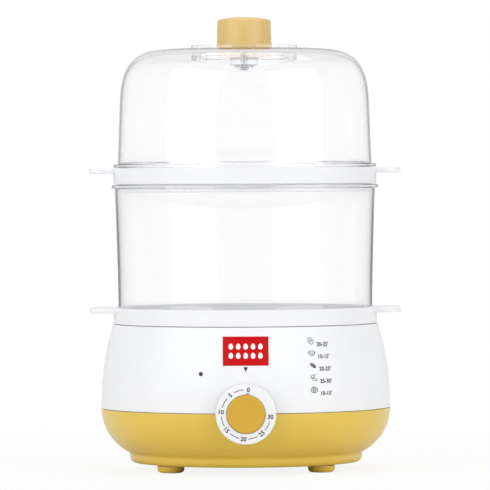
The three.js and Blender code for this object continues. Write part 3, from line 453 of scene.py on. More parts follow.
def linear(colour):
    """A colour given in the 0 to 255 of a picture, as light."""
    def light(value):
        return value / 12.92 if value <= 0.04045 else ((value + 0.055) / 1.055) ** 2.4

    return (*(light(value / 255) for value in colour), 1)


def shade(colour, factor):
    return (*(min(channel * factor, 1) for channel in colour[:3]), 1)


def moulded(tree, colour, roughness, coat=0, specular=0.5, grain=0.000002):
    """Clouds of colour, an uneven gloss, a fine grain and slow sink marks."""
    colour = linear(colour)
    uneven = spread(tree, noise(tree, 140, 3), -0.02, 0.02)
    sunk = bumped(tree, noise(tree, 55, 1), 0.00001)
    shades = shade(colour, 0.98), shade(colour, 1.02)
    return add(tree, "BsdfPrincipled", {
        "Base Color": tinted(tree, spread(tree, noise(tree, 22, 3)), *shades),
        "Roughness": maths(tree, "ADD", uneven, roughness),
        "Normal": bumped(tree, noise(tree, 900, 2), grain, sunk),
        "Specular IOR Level": specular, "Coat Weight": coat, "Coat Roughness": 0.25,
    })


def worked(tree, colour, roughness, lines, cloudy, darkest, metallic, depth):
    """A metal with fine lines and a cloudy gloss."""
    colour = linear(colour)
    return add(tree, "BsdfPrincipled", {
        "Base Color": tinted(tree, spread(tree, lines), shade(colour, darkest), colour),
        "Metallic": metallic, "Roughness": maths(tree, "ADD", cloudy, roughness),
        "Normal": bumped(tree, lines, depth),
    })


def brushed(tree, colour, roughness):
    """A metal brushed along its Z axis."""
    where = add(tree, "TexCoord")["Object"]
    place = add(tree, "Mapping", {"Vector": where, "Scale": (1, 1, 0.05)})[0]
    cloudy = spread(tree, noise(tree, 60, 3), -0.06, 0.08)
    return worked(tree, colour, roughness, noise(tree, 1400, 3, place), cloudy, 0.88, 1, 0.000006)


def spun(tree, colour, roughness):
    """A metal with the fine rings that turning on a lathe leaves about the Z axis."""
    radius = measured(tree, "LENGTH", flattened(tree))
    rings = add(tree, "TexNoise", {"W": radius, "Scale": 2200, "Detail": 2}, noise_dimensions="1D")[0]
    cloudy = spread(tree, noise(tree, 40, 4), -0.05, 0.08)
    return worked(tree, colour, roughness, rings, cloudy, 0.86, 0.9, 0.00001)


def clear(tree, colour, painted_rim_shade, tint, density, roughness, shadow):
    """Faint waves, an uneven polish, a tint that grows with depth, and painted shade on the base
    colour at the rim where it turns away. The painted shade is broader on level faces, and faint on
    all but the outer wall."""
    # How far the painted edge shade reaches, how much broader it is on level faces, and how faint it
    # is on inward faces
    painted_shade_range, level_reach, pale_below, inner_painted_shade = (0.75, 0.84), 0.15, 0.55, 0.12
    normal = add(tree, "NewGeometry")["Normal"]
    level = maths(tree, "POWER", add(tree, "SeparateXYZ", {0: normal})["Z"], 2)
    grazing = add(tree, "LayerWeight", {"Blend": 0.5})["Facing"]
    turned = maths(tree, "MULTIPLY_ADD", level, level_reach, grazing)
    edge = ramp(tree, turned, *painted_shade_range, kind="SMOOTHSTEP")
    outward = measured(tree, "DOT_PRODUCT", vector(tree, "NORMALIZE", flattened(tree)), normal)
    # Painted shade mask: strong where the surface turns away, faint where the shading normal faces
    # inward
    wall = maths(tree, "MULTIPLY", edge, ramp(tree, outward, pale_below, 1, inner_painted_shade))
    # Painted shade: the base colour darkens towards the rim colour under the mask
    surface = add(tree, "BsdfPrincipled", {
        "Base Color": tinted(tree, wall, colour, painted_rim_shade), "Transmission Weight": 1, "IOR": 1.49,
        "Roughness": spread(tree, noise(tree, 70, 3), roughness * 0.5, roughness * 1.5),
        "Normal": bumped(tree, noise(tree, 30, 2), 0.000006),
    })[0]
    film = add(tree, "BsdfTransparent", {"Color": shadow})[0]
    inside = add(tree, "VolumeAbsorption", {"Color": tint, "Density": density})[0]
    return mixed(tree, add(tree, "LightPath")["Is Shadow Ray"], surface, film), inside


def whitened(tree):
    """A pale matt floor that keeps the object's shadow and turns white further out."""
    pale_greys = (0.82, 0.82, 0.82, 1), (0.85, 0.85, 0.85, 1)
    white_range, whiteness = (0.12, 0.8), 0.88
    path = add(tree, "LightPath")
    distance = measured(tree, "LENGTH", add(tree, "TexCoord")["Object"])
    share = ramp(tree, distance, *white_range, whiteness, 1, kind="SMOOTHSTEP")
    clouds = spread(tree, noise(tree, 3, 3))
    matt = add(tree, "BsdfDiffuse", {"Color": tinted(tree, clouds, *pale_greys)})[0]
    white = add(tree, "Emission", {"Color": WHITE, "Strength": 1})[0]
    is_shown = maths(tree, "MAXIMUM", path["Is Camera Ray"], path["Is Transmission Ray"])
    return [mixed(tree, maths(tree, "MULTIPLY", is_shown, share), matt, white)]


def shaded(made, kind, build, *values):
    """Gives a material or a world the shaders that build makes."""
    made.use_nodes = True
    made.node_tree.nodes.clear()
    add(made.node_tree, kind, dict(enumerate(build(made.node_tree, *values))))
    return made


# Colour and roughness, and for some plastics a coat, a specular level and a grain as well
FINISHES = {
    "white_plastic": (moulded, (243, 244, 246), 0.36),
    "yellow_plastic": (moulded, (230, 196, 71), 0.33, 0.5),
    "pale_yellow_plastic": (moulded, (230, 195, 122), 0.3),
    "cap_plastic": (moulded, (214, 169, 48), 0.4),
    "dark_plastic": (moulded, (46, 46, 48), 0.45),
    "grey_plastic": (moulded, (140, 143, 146), 0.5),
    "rubber": (moulded, (206, 207, 209), 0.7, 0, 0.3, 0.00001),
    "steel": (brushed, (200, 202, 205), 0.3),
    "coated_metal": (spun, (178, 180, 182), 0.36),
    # Clear finishes: colour, painted edge-shade colour, absorption tint and density, roughness, and
    # the colour shadows let through
    "clear_plastic": (
        clear, (0.998, 0.998, 1, 1), (0.09, 0.08, 0.13, 1), (0.5, 0.46, 0.66, 1), 9, 0.02,
        (0.97, 0.97, 0.98, 1),
    ),
    "lamp_glass": (
        clear, (0.95, 0.8, 0.68, 1), (0.5, 0.3, 0.2, 1), (0.95, 0.75, 0.6, 1), 30, 0.04,
        (0.9, 0.8, 0.7, 1),
    ),
    "print_ink": (moulded, (46, 46, 52), 0.6, 0, 0.3),
    "badge_enamel": (moulded, (198, 0, 6), 0.4, 0, 0.2),
    "badge_ink": (moulded, (250, 246, 244), 0.35),
    "studio_floor": (whitened,),
}
MATERIALS = {
    name: shaded(bpy.data.materials.new(name), "OutputMaterial", *finish)
    for name, finish in FINISHES.items()
}


def paint(piece, finish):
    piece.data.materials.clear()
    piece.data.materials.append(MATERIALS[finish])


def dress(piece, body, slot, finish=None):
    """Gives a piece its material and shading, and seats it in the frame."""
    paint(piece, finish or slot)
    piece.data.shade_smooth()
    piece.data.set_sharp_from_angle(angle=radians(SHARP_ANGLE))
    piece.modifiers.new("weighted_normals", "WEIGHTED_NORMAL").keep_sharp = True
    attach(piece, body)


def replace(piece, node, name=None):
    """Puts a piece in a CAD node's place, on its body and with its material."""
    piece.name = name or node + "_fine"
    dress(piece, BODIES[node], SLOTS[node])
    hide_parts(node)


# Egg trays

def egg_tray():
    """A tray that rests at z = 0: seven seats with collars, ribs, steam vents and two tabs."""
    eggs, pitch_share = 6, 0.584
    seat_top, seat_bottom, mouth_edge = 0.0166, 0.0154, 0.0008
    spigot_wall, collar_wall, collar_drop, half_rib = 0.0018, 0.0016, 0.0035, 0.001
    spigot_inner = SPIGOT_RADIUS - spigot_wall
    tray = lathe([
        (0, FLOOR_LIFT), *edged(
            TRAY_EDGE, (spigot_inner, FLOOR_LIFT), (spigot_inner, -SPIGOT_DEPTH),
            (SPIGOT_RADIUS, -SPIGOT_DEPTH),
        ),
        (SPIGOT_RADIUS, 0, TRAY_EDGE / 2), *edged(
            TRAY_EDGE, (STACK_RADIUS, 0), (STACK_RADIUS, BAND_HEIGHT), (BAND_BORE, BAND_HEIGHT),
            (BAND_BORE, FLOOR_TOP),
        ),
        (0, FLOOR_TOP),
    ])
    pitch = STACK_RADIUS * pitch_share
    angles = [-90 + i * 360 / eggs for i in range(eggs)]
    collar_bottom = FLOOR_LIFT - collar_drop
    floor_middle = FLOOR_LIFT + FLOOR_THICKNESS / 2

    def at_seats(outline):
        seats = [(0, 0)] + [polar(pitch, angle) for angle in angles]
        return [move(lathe(outline, FINE // 2), x, y) for x, y in seats]

    def ribs(start, end):
        corner = (start, -half_rib, FLOOR_LIFT - TRAY_RIB_DEPTH)
        return [move(block(corner, (end, half_rib, floor_middle)), turn=angle) for angle in angles]

    collars = at_seats([
        (0, collar_bottom), (seat_bottom + collar_wall, collar_bottom, TRAY_EDGE),
        (seat_top + collar_wall, floor_middle), (0, floor_middle),
    ])
    inner_ribs = ribs(seat_bottom, pitch - seat_bottom)
    outer_ribs = ribs(pitch + seat_bottom, SPIGOT_RADIUS - spigot_wall / 2)
    join(tray, *collars, *inner_ribs, *outer_ribs, tab(-1), tab(1))

    curve = arc((seat_top + mouth_edge, FLOOR_TOP - mouth_edge), mouth_edge, 180, 100)
    mouths = at_seats([
        (0, collar_bottom - OVERRUN), (seat_bottom, collar_bottom - OVERRUN),
        (seat_bottom, collar_bottom), *curve, flared(curve), (0, FLOOR_TOP + mouth_edge),
    ])
    vents = [steam_vents(angle + 180 / eggs, pitch, spigot_inner) for angle in angles]
    return cut(tray, *mouths, *sum(vents, ()))


def flared(curve):
    """Carries a rounded edge straight on, to just above the surface that it meets."""
    (x0, y0), (x1, y1) = curve[-2:]
    climb = FLOOR_TOP + GAP - y1
    return x1 + (x1 - x0) / (y1 - y0) * climb, y1 + climb


def steam_vents(angle, pitch, spigot_inner):
    """Cutters for the round hole and the long slot between two seats."""
    hole_radius, vent_edge, edge_steps = 0.003, 0.0004, 4
    slot_width, slot_length, slot_inset = 0.0032, 0.02, 0.006
    edge = arc((hole_radius + vent_edge, FLOOR_TOP - vent_edge), vent_edge, 180, 110, edge_steps)
    hole = lathe([
        (0, FLOOR_LIFT - TRAY_RIB_DEPTH), (hole_radius, FLOOR_LIFT - TRAY_RIB_DEPTH), *edge,
        flared(edge), (0, FLOOR_TOP + GAP),
    ], COARSE)
    levels = [(0, FLOOR_LIFT - OVERRUN)] + [(r - hole_radius, z) for r, z in (*edge, flared(edge))]
    slot = slab(slot_width, slot_length, slot_width / 2, levels)
    slot_place = polar(spigot_inner - slot_inset, angle)
    return move(hole, *polar(pitch / sqrt(3), angle)), move(slot, *slot_place, turn=angle)


def tab(side):
    """One lifting tab, which ends half way through the band's wall."""
    width, thickness, drop, corner, edge = 0.036, 0.0031, 0.0002, 0.009, 0.0008
    root = STACK_RADIUS - corner
    length = TAB_END - root
    top = BAND_HEIGHT - drop
    bottom = top - thickness
    levels = arc((-edge, bottom + edge), edge, -90, 0) + arc((-edge, top - edge), edge, 0, 90)
    plate = slab(length, width, corner, levels)
    core = disc(STACK_RADIUS - BAND_WALL / 2, bottom - OVERRUN, top + OVERRUN, segments=FINE)
    return cut(move(plate, x=side * (root + length / 2)), core)


def trays():
    lower = egg_tray()
    upper = in_scene("part", lower.data.copy())
    replace(move(lower, z=LOWER_SEAT), "lower_egg_tray", "lower_tray_fine")
    replace(move(upper, z=UPPER_SEAT), "upper_egg_tray", "upper_tray_fine")


# Clear ring and lid

def steam_ring():
    wall, flange_thickness, flare_power = 0.0018, 0.0021, 1.6
    flare_top = RING_TOP - flange_thickness
    flare_start = RING_BOTTOM + BAND_HEIGHT - FLOOR_TOP
    flare = BORE_RADIUS + wall - NEST_RADIUS

    def radius_at(height):
        climb = max((height - flare_start) / (flare_top - flare_start), 0)
        return NEST_RADIUS + flare * climb ** flare_power

    outside = skin(radius_at, flare_start, flare_top)
    ring = lathe([
        *edged(CLEAR_EDGE, (NEST_RADIUS - wall, RING_BOTTOM), (NEST_RADIUS, RING_BOTTOM)),
        *outside[:-1], (*outside[-1], CLEAR_EDGE / 2), *edged(
            CLEAR_EDGE, (RING_RADIUS, flare_top), (RING_RADIUS, RING_TOP),
            (BORE_RADIUS, RING_TOP),
        ),
        *skin(radius_at, flare_top, flare_start, wall),
    ])
    replace(ring, "steam_ring")


def lid_cover():
    thickness, flange_top, platform_depth = 0.002, 0.0018, 0.0016
    bead_inner, bead_width, bead_edge = 0.0285, 0.0025, 0.00015
    rib_depth, boss_radius, boss_depth = 0.0026, 0.0082, 0.007
    vent_offset, vent_radius, vent_wall, vent_depth = 0.024, 0.0016, 0.0009, 0.003

    def curve(shares, steps=CURVE_STEPS):
        return bezier([(NEST_RADIUS * r, LID_HEIGHT * h) for r, h in shares], steps)

    platform = LID_HEIGHT - platform_depth
    ceiling = platform - thickness
    wall = curve(LID_WALL_SHARES) + curve(LID_SHOULDER_SHARES)[1:]
    wall += curve(LID_CROWN_SHARES, ARC_STEPS)[1:]
    inner_wall = offset([(NEST_RADIUS, -LID_SKIRT), *wall], thickness)
    bead_outer = bead_inner + bead_width
    rib_inner = bead_inner + thickness / 2
    rib_bottom = ceiling - rib_depth
    boss_bottom = ceiling - boss_depth
    cover = lathe([
        *edged(CLEAR_EDGE, (NEST_RADIUS - thickness, -LID_SKIRT), (NEST_RADIUS, -LID_SKIRT)),
        (NEST_RADIUS, 0, CLEAR_EDGE / 2), *edged(
            CLEAR_EDGE, (STACK_RADIUS, 0), (STACK_RADIUS, flange_top),
            (NEST_RADIUS, flange_top),
        ),
        *wall, *edged(
            bead_edge, (bead_outer, platform), (bead_outer, LID_HEIGHT), (bead_inner, LID_HEIGHT),
            (bead_inner, platform),
        ),
        (HOLE_RADIUS, platform), (HOLE_RADIUS, boss_bottom),
        *edged(CLEAR_EDGE, (boss_radius, boss_bottom), (boss_radius, ceiling)),
        (rib_inner, ceiling, CLEAR_EDGE / 2),
        *edged(CLEAR_EDGE, (rib_inner, rib_bottom), (bead_outer, rib_bottom)),
        (bead_outer, ceiling, CLEAR_EDGE / 2), *reversed(inner_wall[1:]),
    ])
    sides = (-vent_offset, vent_offset)
    tube_radius = vent_radius + vent_wall
    tubes = [disc(tube_radius, ceiling - vent_depth, ceiling + thickness / 2, x) for x in sides]
    vents = [disc(vent_radius, ceiling - vent_depth - OVERRUN, LID_HEIGHT, x) for x in sides]
    replace(move(cut(join(cover, *tubes), *vents), z=LID_SEAT), "lid_cover")


def lid_knob():
    side_radius, top_radius, boss_radius, wall, edge = 0.016, 0.01565, 0.0044, 0.0023, 0.0018
    overhang, flange_height, crown_rise = 0.00025, 0.0026, 0.0015
    seat = low("lid_knob").z
    height = high("lid_knob").z - seat
    flange = side_radius + overhang
    ceiling = height - crown_rise - wall
    inner = top_radius - wall

    def crown(radius):
        return radius, height - crown_rise * (radius / top_radius) ** 2

    knob = lathe([
        (0, ceiling), (HOLE_RADIUS, ceiling), (HOLE_RADIUS, 0), (boss_radius, 0),
        (boss_radius, ceiling, edge / 2), (inner, ceiling, edge), (inner, 0),
        *edged(CLEAR_EDGE / 2, (flange, 0), (flange, flange_height)),
        (side_radius, flange_height + overhang, CLEAR_EDGE),
        (*crown(top_radius), edge),
        *between(top_radius - 2 * edge, 0, crown, 2 * ARC_STEPS),
    ])
    replace(move(knob, z=seat), "lid_knob")


def flat_ring(node, inner, outer, edge_share, segments=FINE, name=None):
    """A flat ring in place of a node, with edges that are a share of its thickness."""
    bottom, top = low(node).z, high(node).z
    corners = ((inner, bottom), (outer, bottom), (outer, top), (inner, top))
    replace(lathe(edged((top - bottom) * edge_share, *corners), segments), node, name)


# Base housings

def upper_radius(height):
    climb = max((height - SEAM_HEIGHT) / (RIM_HEIGHT - SEAM_HEIGHT), 0)
    return BELLY_RADIUS - (BELLY_RADIUS - RIM_RADIUS) * climb ** SHOULDER_POWER


def lower_radius(height):
    drop = (SEAM_HEIGHT - height) / ((SEAM_HEIGHT - PLINTH_TOP) / BELLY_CURVE_SHARE)
    return BELLY_RADIUS - BELLY_CURVE_REACH * (1 - sqrt(1 - drop ** 2))


PLINTH_RADIUS = lower_radius(PLINTH_TOP)
LIP_BOTTOM = SEAM_HEIGHT - LIP_DEPTH
REBATE_RADIUS = lower_radius(LIP_BOTTOM - GAP) - SHELL_WALL
LIP_RADIUS = REBATE_RADIUS - GAP
LIP_BORE = LIP_RADIUS - LIP_WALL
POST_OFFSET = PLINTH_RADIUS - POST_INSET
POST_PLACES = [polar(POST_OFFSET, angle) for angle in POST_ANGLES]
PLATE_FRONT = -low("timer_plate").y
PAD_FACE = lower_radius(GLAND_HEIGHT)


def shaft_hole():
    hole = disc(SHAFT_RADIUS + SHAFT_HOLE_GAP, PLATE_FRONT, BELLY_RADIUS + OVERRUN)
    return to_front(hole, DIAL_HEIGHT)


def upper_housing():
    rim_edge, lip_rise = 0.0009, 0.003
    post_radius, headroom, half_rib, rib_height = 0.0036, 0.0035, 0.001, 0.016
    bracket_radius, bracket_depth, bracket_inset = 0.0036, 0.005, 0.0047
    plate_radius = 0.0032
    post_thread, bracket_thread, plate_thread = 0.009, 0.005, 0.004
    lens_gap, lamp_radius, sleeve_wall, sleeve_depth = 0.0001, 0.0026, 0.0012, 0.01
    bottom = SEAM_HEIGHT + GAP / 2
    wall_bottom = bottom + lip_rise
    outer = skin(upper_radius, bottom, RIM_HEIGHT)
    housing = lathe([
        (*outer[0], SEAM_EDGE), *outer[1:-1], (*outer[-1], rim_edge), *edged(
            TRAY_EDGE, (BORE_RADIUS, RIM_HEIGHT), (BORE_RADIUS, LEDGE_TOP),
            (LEDGE_BORE, LEDGE_TOP), (LEDGE_BORE, LEDGE_BOTTOM),
        ),
        *skin(upper_radius, LEDGE_BOTTOM, wall_bottom, SHELL_WALL), (LIP_BORE, wall_bottom),
        *edged(SEAM_EDGE, (LIP_BORE, LIP_BOTTOM), (LIP_RADIUS, LIP_BOTTOM)),
        (LIP_RADIUS, bottom),
    ])

    def trimmed(boss):
        """Ends a boss half way through the wall."""
        side = skin(upper_radius, bottom, RIM_HEIGHT, SHELL_WALL / 2)
        return within(boss, lathe([(0, bottom), *side, (0, RIM_HEIGHT)]))

    post_bottom = TOWER_TOP + GAP
    post_top = PAN_UNDERSIDE - headroom
    bosses, holes = [], []
    for angle, place in zip(POST_ANGLES, POST_PLACES):
        corner = POST_OFFSET, -half_rib, post_top - rib_height
        rib = block(corner, (BELLY_RADIUS, half_rib, post_top))
        bosses += [trimmed(move(rib, turn=angle)), disc(post_radius, post_bottom, post_top, *place)]
        holes.append(disc(HOLE_RADIUS, 0, post_bottom + post_thread + GAP, *place))
    face = LEDGE_BOTTOM - bracket_depth
    for angle in BRACKET_ANGLES:
        place = polar(BORE_RADIUS - bracket_inset, angle)
        bosses.append(disc(bracket_radius, face, LEDGE_BOTTOM + LEDGE_THICKNESS / 2, *place))
        holes.append(disc(HOLE_RADIUS, face - OVERRUN, face + bracket_thread, *place))
    face = PLATE_FRONT + GAP
    for node in ("plate_screw_1", "plate_screw_2"):
        x, _, z = middle(node)
        hole = disc(HOLE_RADIUS, face - OVERRUN, face + plate_thread)
        bosses.append(trimmed(move(to_front(disc(plate_radius, face, BELLY_RADIUS), z), x)))
        holes.append(move(to_front(hole, z), x))

    surface = upper_radius(LENS_HEIGHT)
    sleeve_bottom, sleeve_top = surface - sleeve_depth, surface - SHELL_WALL - 2 * GAP
    sleeve_bore = lamp_radius + GAP
    sleeve, *bores = (to_front(disc(*sizes), LENS_HEIGHT, LENS_TURN) for sizes in (
        (sleeve_bore + sleeve_wall, sleeve_bottom, surface),
        (sleeve_bore, sleeve_bottom - OVERRUN, sleeve_top + GAP),
        (LENS_RADIUS + lens_gap, sleeve_top, surface + OVERRUN),
    ))
    cut(join(housing, *bosses, trimmed(sleeve)), *holes, *bores, shaft_hole())
    replace(housing, "upper_housing")


def lower_housing():
    cove, cove_rise, edge = 0.002, 0.0015, 0.003
    tower_radius, tower_web, block_radius, block_height = 0.0048, 0.0024, 0.004, 0.003
    slots, slot_length, slot_width, slot_pitch = 5, 0.03, 0.0026, 0.008
    slots_middle, pad_radius, pad_depth = -0.008, 0.007, 0.0034
    top = SEAM_HEIGHT - GAP / 2
    floor_top = UNDERSIDE + SHELL_WALL
    floor_middle = UNDERSIDE + SHELL_WALL / 2
    corner = PLINTH_RADIUS - edge
    outer = skin(lower_radius, PLINTH_TOP + cove_rise, top)
    housing = lathe([
        (0, UNDERSIDE), *arc((corner, UNDERSIDE + edge), edge, -90, 0),
        (PLINTH_RADIUS, PLINTH_TOP, cove), *outer[:-1], (*outer[-1], SEAM_EDGE),
        (REBATE_RADIUS, top, SEAM_EDGE),
        *skin(lower_radius, LIP_BOTTOM - GAP, PLINTH_TOP + SHELL_WALL, SHELL_WALL),
        (PLINTH_RADIUS - SHELL_WALL, PLINTH_TOP), (corner, floor_top, edge), (0, floor_top),
    ])
    block_y = middle("terminal_block").y
    block_top = floor_top + block_height
    below, above = UNDERSIDE - OVERRUN, floor_top + OVERRUN
    pad = disc(pad_radius, PAD_FACE - pad_depth, PAD_FACE)
    additions = [
        *(disc(tower_radius, floor_middle, TOWER_TOP, *place) for place in POST_PLACES),
        disc(block_radius, floor_middle, block_top, y=block_y), to_rear(pad, GLAND_HEIGHT),
    ]
    holes = []
    for place in POST_PLACES:
        holes.append(disc(HEAD_RADIUS + 2 * GAP, below, TOWER_TOP - tower_web, *place))
        holes.append(disc(HOLE_RADIUS, UNDERSIDE, TOWER_TOP + OVERRUN, *place))
    holes.append(disc(HOLE_RADIUS, floor_middle, block_top + OVERRUN, y=block_y))
    holes += [disc(STEM_RADIUS + GAP, below, above, *middle(node)[:2]) for node in FEET]
    for i in range(slots):
        slot = slab(slot_length, slot_width, slot_width / 2, [(0, below), (0, above)])
        holes.append(move(slot, y=slots_middle + (i - (slots - 1) / 2) * slot_pitch))
    gland_start = PAD_FACE - GLAND_LENGTH - OVERRUN
    for radius, start in ((pad_radius, PAD_FACE), (NECK_RADIUS + GAP, gland_start)):
        holes.append(to_rear(disc(radius, start, BELLY_RADIUS + OVERRUN), GLAND_HEIGHT))
    cut(join(housing, *additions), *holes, shaft_hole())
    replace(housing, "lower_housing")


def feet():
    foot_radius, edge, recess, sole_rim = 0.0078, 0.0024, 0.0004, 0.0009
    overhang, bulb_height = 0.0008, 0.0024
    top = UNDERSIDE - GAP
    bulb_bottom = UNDERSIDE + SHELL_WALL + GAP
    bulb_top = bulb_bottom + bulb_height
    sole = foot_radius - edge
    for node in FEET:
        foot = lathe([
            (0, recess), (sole - sole_rim - recess, recess),
            (sole - sole_rim, 0), *arc((sole, edge), edge, -90, 0), (foot_radius, top, SEAM_EDGE),
            (STEM_RADIUS, top), (STEM_RADIUS, bulb_bottom),
            (STEM_RADIUS + overhang, bulb_bottom, SEAM_EDGE),
            (overhang, bulb_top, SEAM_EDGE), (0, bulb_top),
        ], COARSE)
        replace(move(foot, *middle(node)[:2]), node)


# Heating pan

def heating_pan():
    flange_gap, corner, lip, stud_radius = 0.0013, 0.004, 0.0012, 0.002
    inside = rounded([
        (BORE_RADIUS - flange_gap, PAN_FLANGE_TOP), (PAN_MOUTH_RADIUS, PAN_FLANGE_TOP, lip),
        (PAN_FLOOR_RADIUS, PAN_FLOOR_TOP, corner), (0, PAN_FLOOR_TOP),
    ])
    pan = lathe(inside + offset(inside, PAN_THICKNESS)[::-1])
    bottom, top = low("heating_pan").z, PAN_UNDERSIDE + PAN_THICKNESS / 2
    studs = [disc(stud_radius, bottom, top, *middle(f"strap_nut_{i}")[:2]) for i in (1, 2)]
    replace(join(pan, *studs), "heating_pan")


# Dial, built from z = 0 at its back

def toothed(inset, tooth_share):
    """A toothed circle, by how far it lies inside the dial's edge and how deep its teeth are."""
    teeth, steps = 56, 8
    count = teeth * steps
    points = []
    for i in range(count):
        wave = (1 - cos(tau * i / steps)) / 2
        radius = DIAL_RADIUS - inset - tooth_share * DIAL_TOOTH_DEPTH * wave
        points.append((radius * cos(tau * i / count), radius * sin(tau * i / count)))
    return points


def cap_outline(grow):
    """A circle with a small nib at its top, which sinks into the circle on the cap's face."""
    reach, nib, nib_tip = 0.0008, 0.0013, 0.0003
    radius = CAP_RADIUS + grow
    half_width = nib + max(grow, 0)
    lean = degrees(asin(half_width / radius))
    tip = radius + reach * min(max(1 + grow / CAP_EDGE, 0), 1)
    half_tip = nib_tip + max(grow, 0)
    return arc((0, 0), radius, 90 + lean, 450 - lean, COARSE) + [(half_tip, tip), (-half_tip, tip)]


def on_dial(piece, node):
    """Stands a piece up at the dial's place, turned as the dial is at rest."""
    turned = to_front(move(piece, turn=-DIAL_REST_TURN), DIAL_HEIGHT)
    replace(move(turned, y=-DIAL_BACK), node)


def timer_dial():
    rim_edge, wall, hub, flat_depth, sweep = 0.0011, 0.0018, 0.0052, 0.0009, 352
    edge = arc((0, 0), rim_edge, 0, 90)
    levels = [(SEAM_EDGE, 1, 0), (0, 1, SEAM_EDGE)]
    levels += [(rim_edge - x, 1 - y / rim_edge, DIAL_DEPTH - rim_edge + y) for x, y in edge]
    dial = loft([(toothed(inset, teeth), height) for inset, teeth, height in levels])
    ceiling = POCKET_FLOOR - wall
    cavity_radius = DIAL_RADIUS - DIAL_TOOTH_DEPTH - wall
    cavity = lathe([
        (hub, -OVERRUN), (cavity_radius, -OVERRUN),
        *edged(SEAM_EDGE, (cavity_radius, ceiling), (hub, ceiling)),
    ], COARSE * 2)
    flat = SHAFT_RADIUS - flat_depth
    around = arc((0, 0), SHAFT_RADIUS + GAP, 0, sweep, COARSE - 1)
    section = [(x, min(y, flat)) for x, y in around]
    bore = loft([(section, -OVERRUN), (section, POCKET_FLOOR - wall / 2)])
    hollow = cap_outline(GAP)
    pocket = loft([(hollow, POCKET_FLOOR), (hollow, DIAL_DEPTH + OVERRUN)])
    on_dial(cut(dial, cavity, bore, pocket), "timer_dial")


def dial_cap():
    """The pointer cap, with a rounded edge and a shallow dish in its face."""
    bottom = POCKET_FLOOR + GAP
    top = DIAL_DEPTH + CAP_PROUD
    levels = [(-CAP_EDGE / 2, bottom), (0, bottom + CAP_EDGE / 2)]
    levels += arc((-CAP_EDGE, top - CAP_EDGE), CAP_EDGE, 0, 90)
    levels += [(-CAP_EDGE * inset, top - CAP_DISH * share) for inset, share in CAP_DISH_STEPS]
    on_dial(loft([(cap_outline(grow), height) for grow, height in levels]), "dial_cap")


# Indicator and gland

def indicator_lens():
    proud, flange, thickness = 0.00025, 0.0024, 0.0012
    surface = upper_radius(LENS_HEIGHT)
    flange_top = surface - SHELL_WALL - 2 * GAP
    flange_bottom = flange_top - thickness

    def dome(share):
        return LENS_RADIUS * share, surface + proud * (1 - share ** 2)

    lens = lathe([
        (0, flange_bottom), (flange, flange_bottom), (flange, flange_top),
        (LENS_RADIUS, flange_top), *between(1, 0, dome, 2 * ARC_STEPS),
    ], COARSE)
    replace(to_front(lens, LENS_HEIGHT, LENS_TURN), "indicator_lens")


def cord_gland():
    flange, thickness, end, bore = 0.0065, 0.0015, 0.004, 0.003
    grooves, groove_start, groove_depth = 3, 0.75, 0.0003
    back = PAD_FACE + GAP
    front = back + thickness
    tip = high("cord_gland").y
    start = PAD_FACE - GLAND_LENGTH
    pitch = (tip - front) / (grooves + 1)
    taper = (NECK_RADIUS - end) / (tip - front)
    sleeve = []
    for i in range(grooves):
        for shift, depth in GLAND_GROOVE_SHAPE:
            height = front + (i + groove_start) * pitch + shift * pitch
            sleeve.append((NECK_RADIUS - taper * (height - front) - depth * groove_depth, height))
    gland = lathe([
        *edged(SEAM_EDGE, (bore, start), (NECK_RADIUS, start)), (NECK_RADIUS, back),
        *edged(SEAM_EDGE, (flange, back), (flange, front), (NECK_RADIUS, front)),
        *sleeve, *edged(SEAM_EDGE, (end, tip), (bore, tip)),
    ], COARSE * 2)
    replace(to_rear(gland, GLAND_HEIGHT), "cord_gland")


# Screws, built with the head's underside at z = 0

def screw(node, along, shank=SHANK_RADIUS, head=HEAD_RADIUS, head_height=HEAD_HEIGHT):
    """A cross-recessed screw in place of a node, whose head faces along an axis such as -z."""
    edge, tip_share, top_share = 0.0009, 0.7, 0.6
    reach_share, width_share, depth_share = 0.62, 0.22, 0.6
    axis = "xyz".index(along[-1])
    length = (high(node) - low(node))[axis] - head_height
    piece = lathe([
        (0, -length), (shank * tip_share, -length), (shank, shank - length), (shank, 0),
        (head, 0, SEAM_EDGE / 2), (head, head_height / 2, edge),
        (head * top_share, head_height, edge), (0, head_height),
    ], COARSE)
    reach, half = head * reach_share, head * width_share / 2
    floor, above = head_height * (1 - depth_share), head_height + OVERRUN
    cut(piece, *(block((-x, -y, floor), (x, y, above)) for x, y in ((reach, half), (half, reach))))
    tilt = {"z": 0, "-z": 180, "-y": 90, "y": -90}[along]
    place = middle(node)
    place[axis] = low(node)[axis] + head_height if along[0] == "-" else high(node)[axis] - head_height
    replace(move(piece, *place, tilt=tilt), node)


def screws():
    for i in (1, 2, 3):
        screw(f"housing_screw_{i}", "-z")
        screw(f"pan_bracket_screw_{i}", "-z")
    for i in (1, 2):
        screw(f"timer_screw_{i}", "-y", *TIMER_HEAD)
        screw(f"plate_screw_{i}", "y")
    screw("terminal_screw", "z")
    screw("lid_knob_screw", "-z")


# Prints, drawn flat as (along, up, out) and then laid on their surface

def add_text(mesh, text, height, along, up, lean=0, weight=0):
    """Adds text with its middle at a place, turned counter-clockwise by lean degrees."""
    curve = bpy.data.curves.new("text", "FONT")
    curve.body = text
    curve.extrude = (PRINT_PROUD + PRINT_SUNK) / 2
    curve.offset = weight
    letters = in_scene("text", curve)
    flat = evaluated(letters)
    bpy.data.objects.remove(letters)
    xs, ys = ([vertex.co[axis] for vertex in flat.vertices] for axis in (0, 1))
    scale = height / (max(ys) - min(ys))
    centred = Matrix.Translation((-(max(xs) + min(xs)) / 2, -(max(ys) + min(ys)) / 2, 0))
    sized = Matrix.Diagonal((scale, scale, 1, 1))
    turned = Matrix.Rotation(radians(lean), 4, "Z")
    placed = Matrix.Translation((along, up, (PRINT_PROUD - PRINT_SUNK) / 2))
    flat.transform(placed @ turned @ sized @ centred)
    mesh.from_mesh(flat)
    bpy.data.meshes.remove(flat)


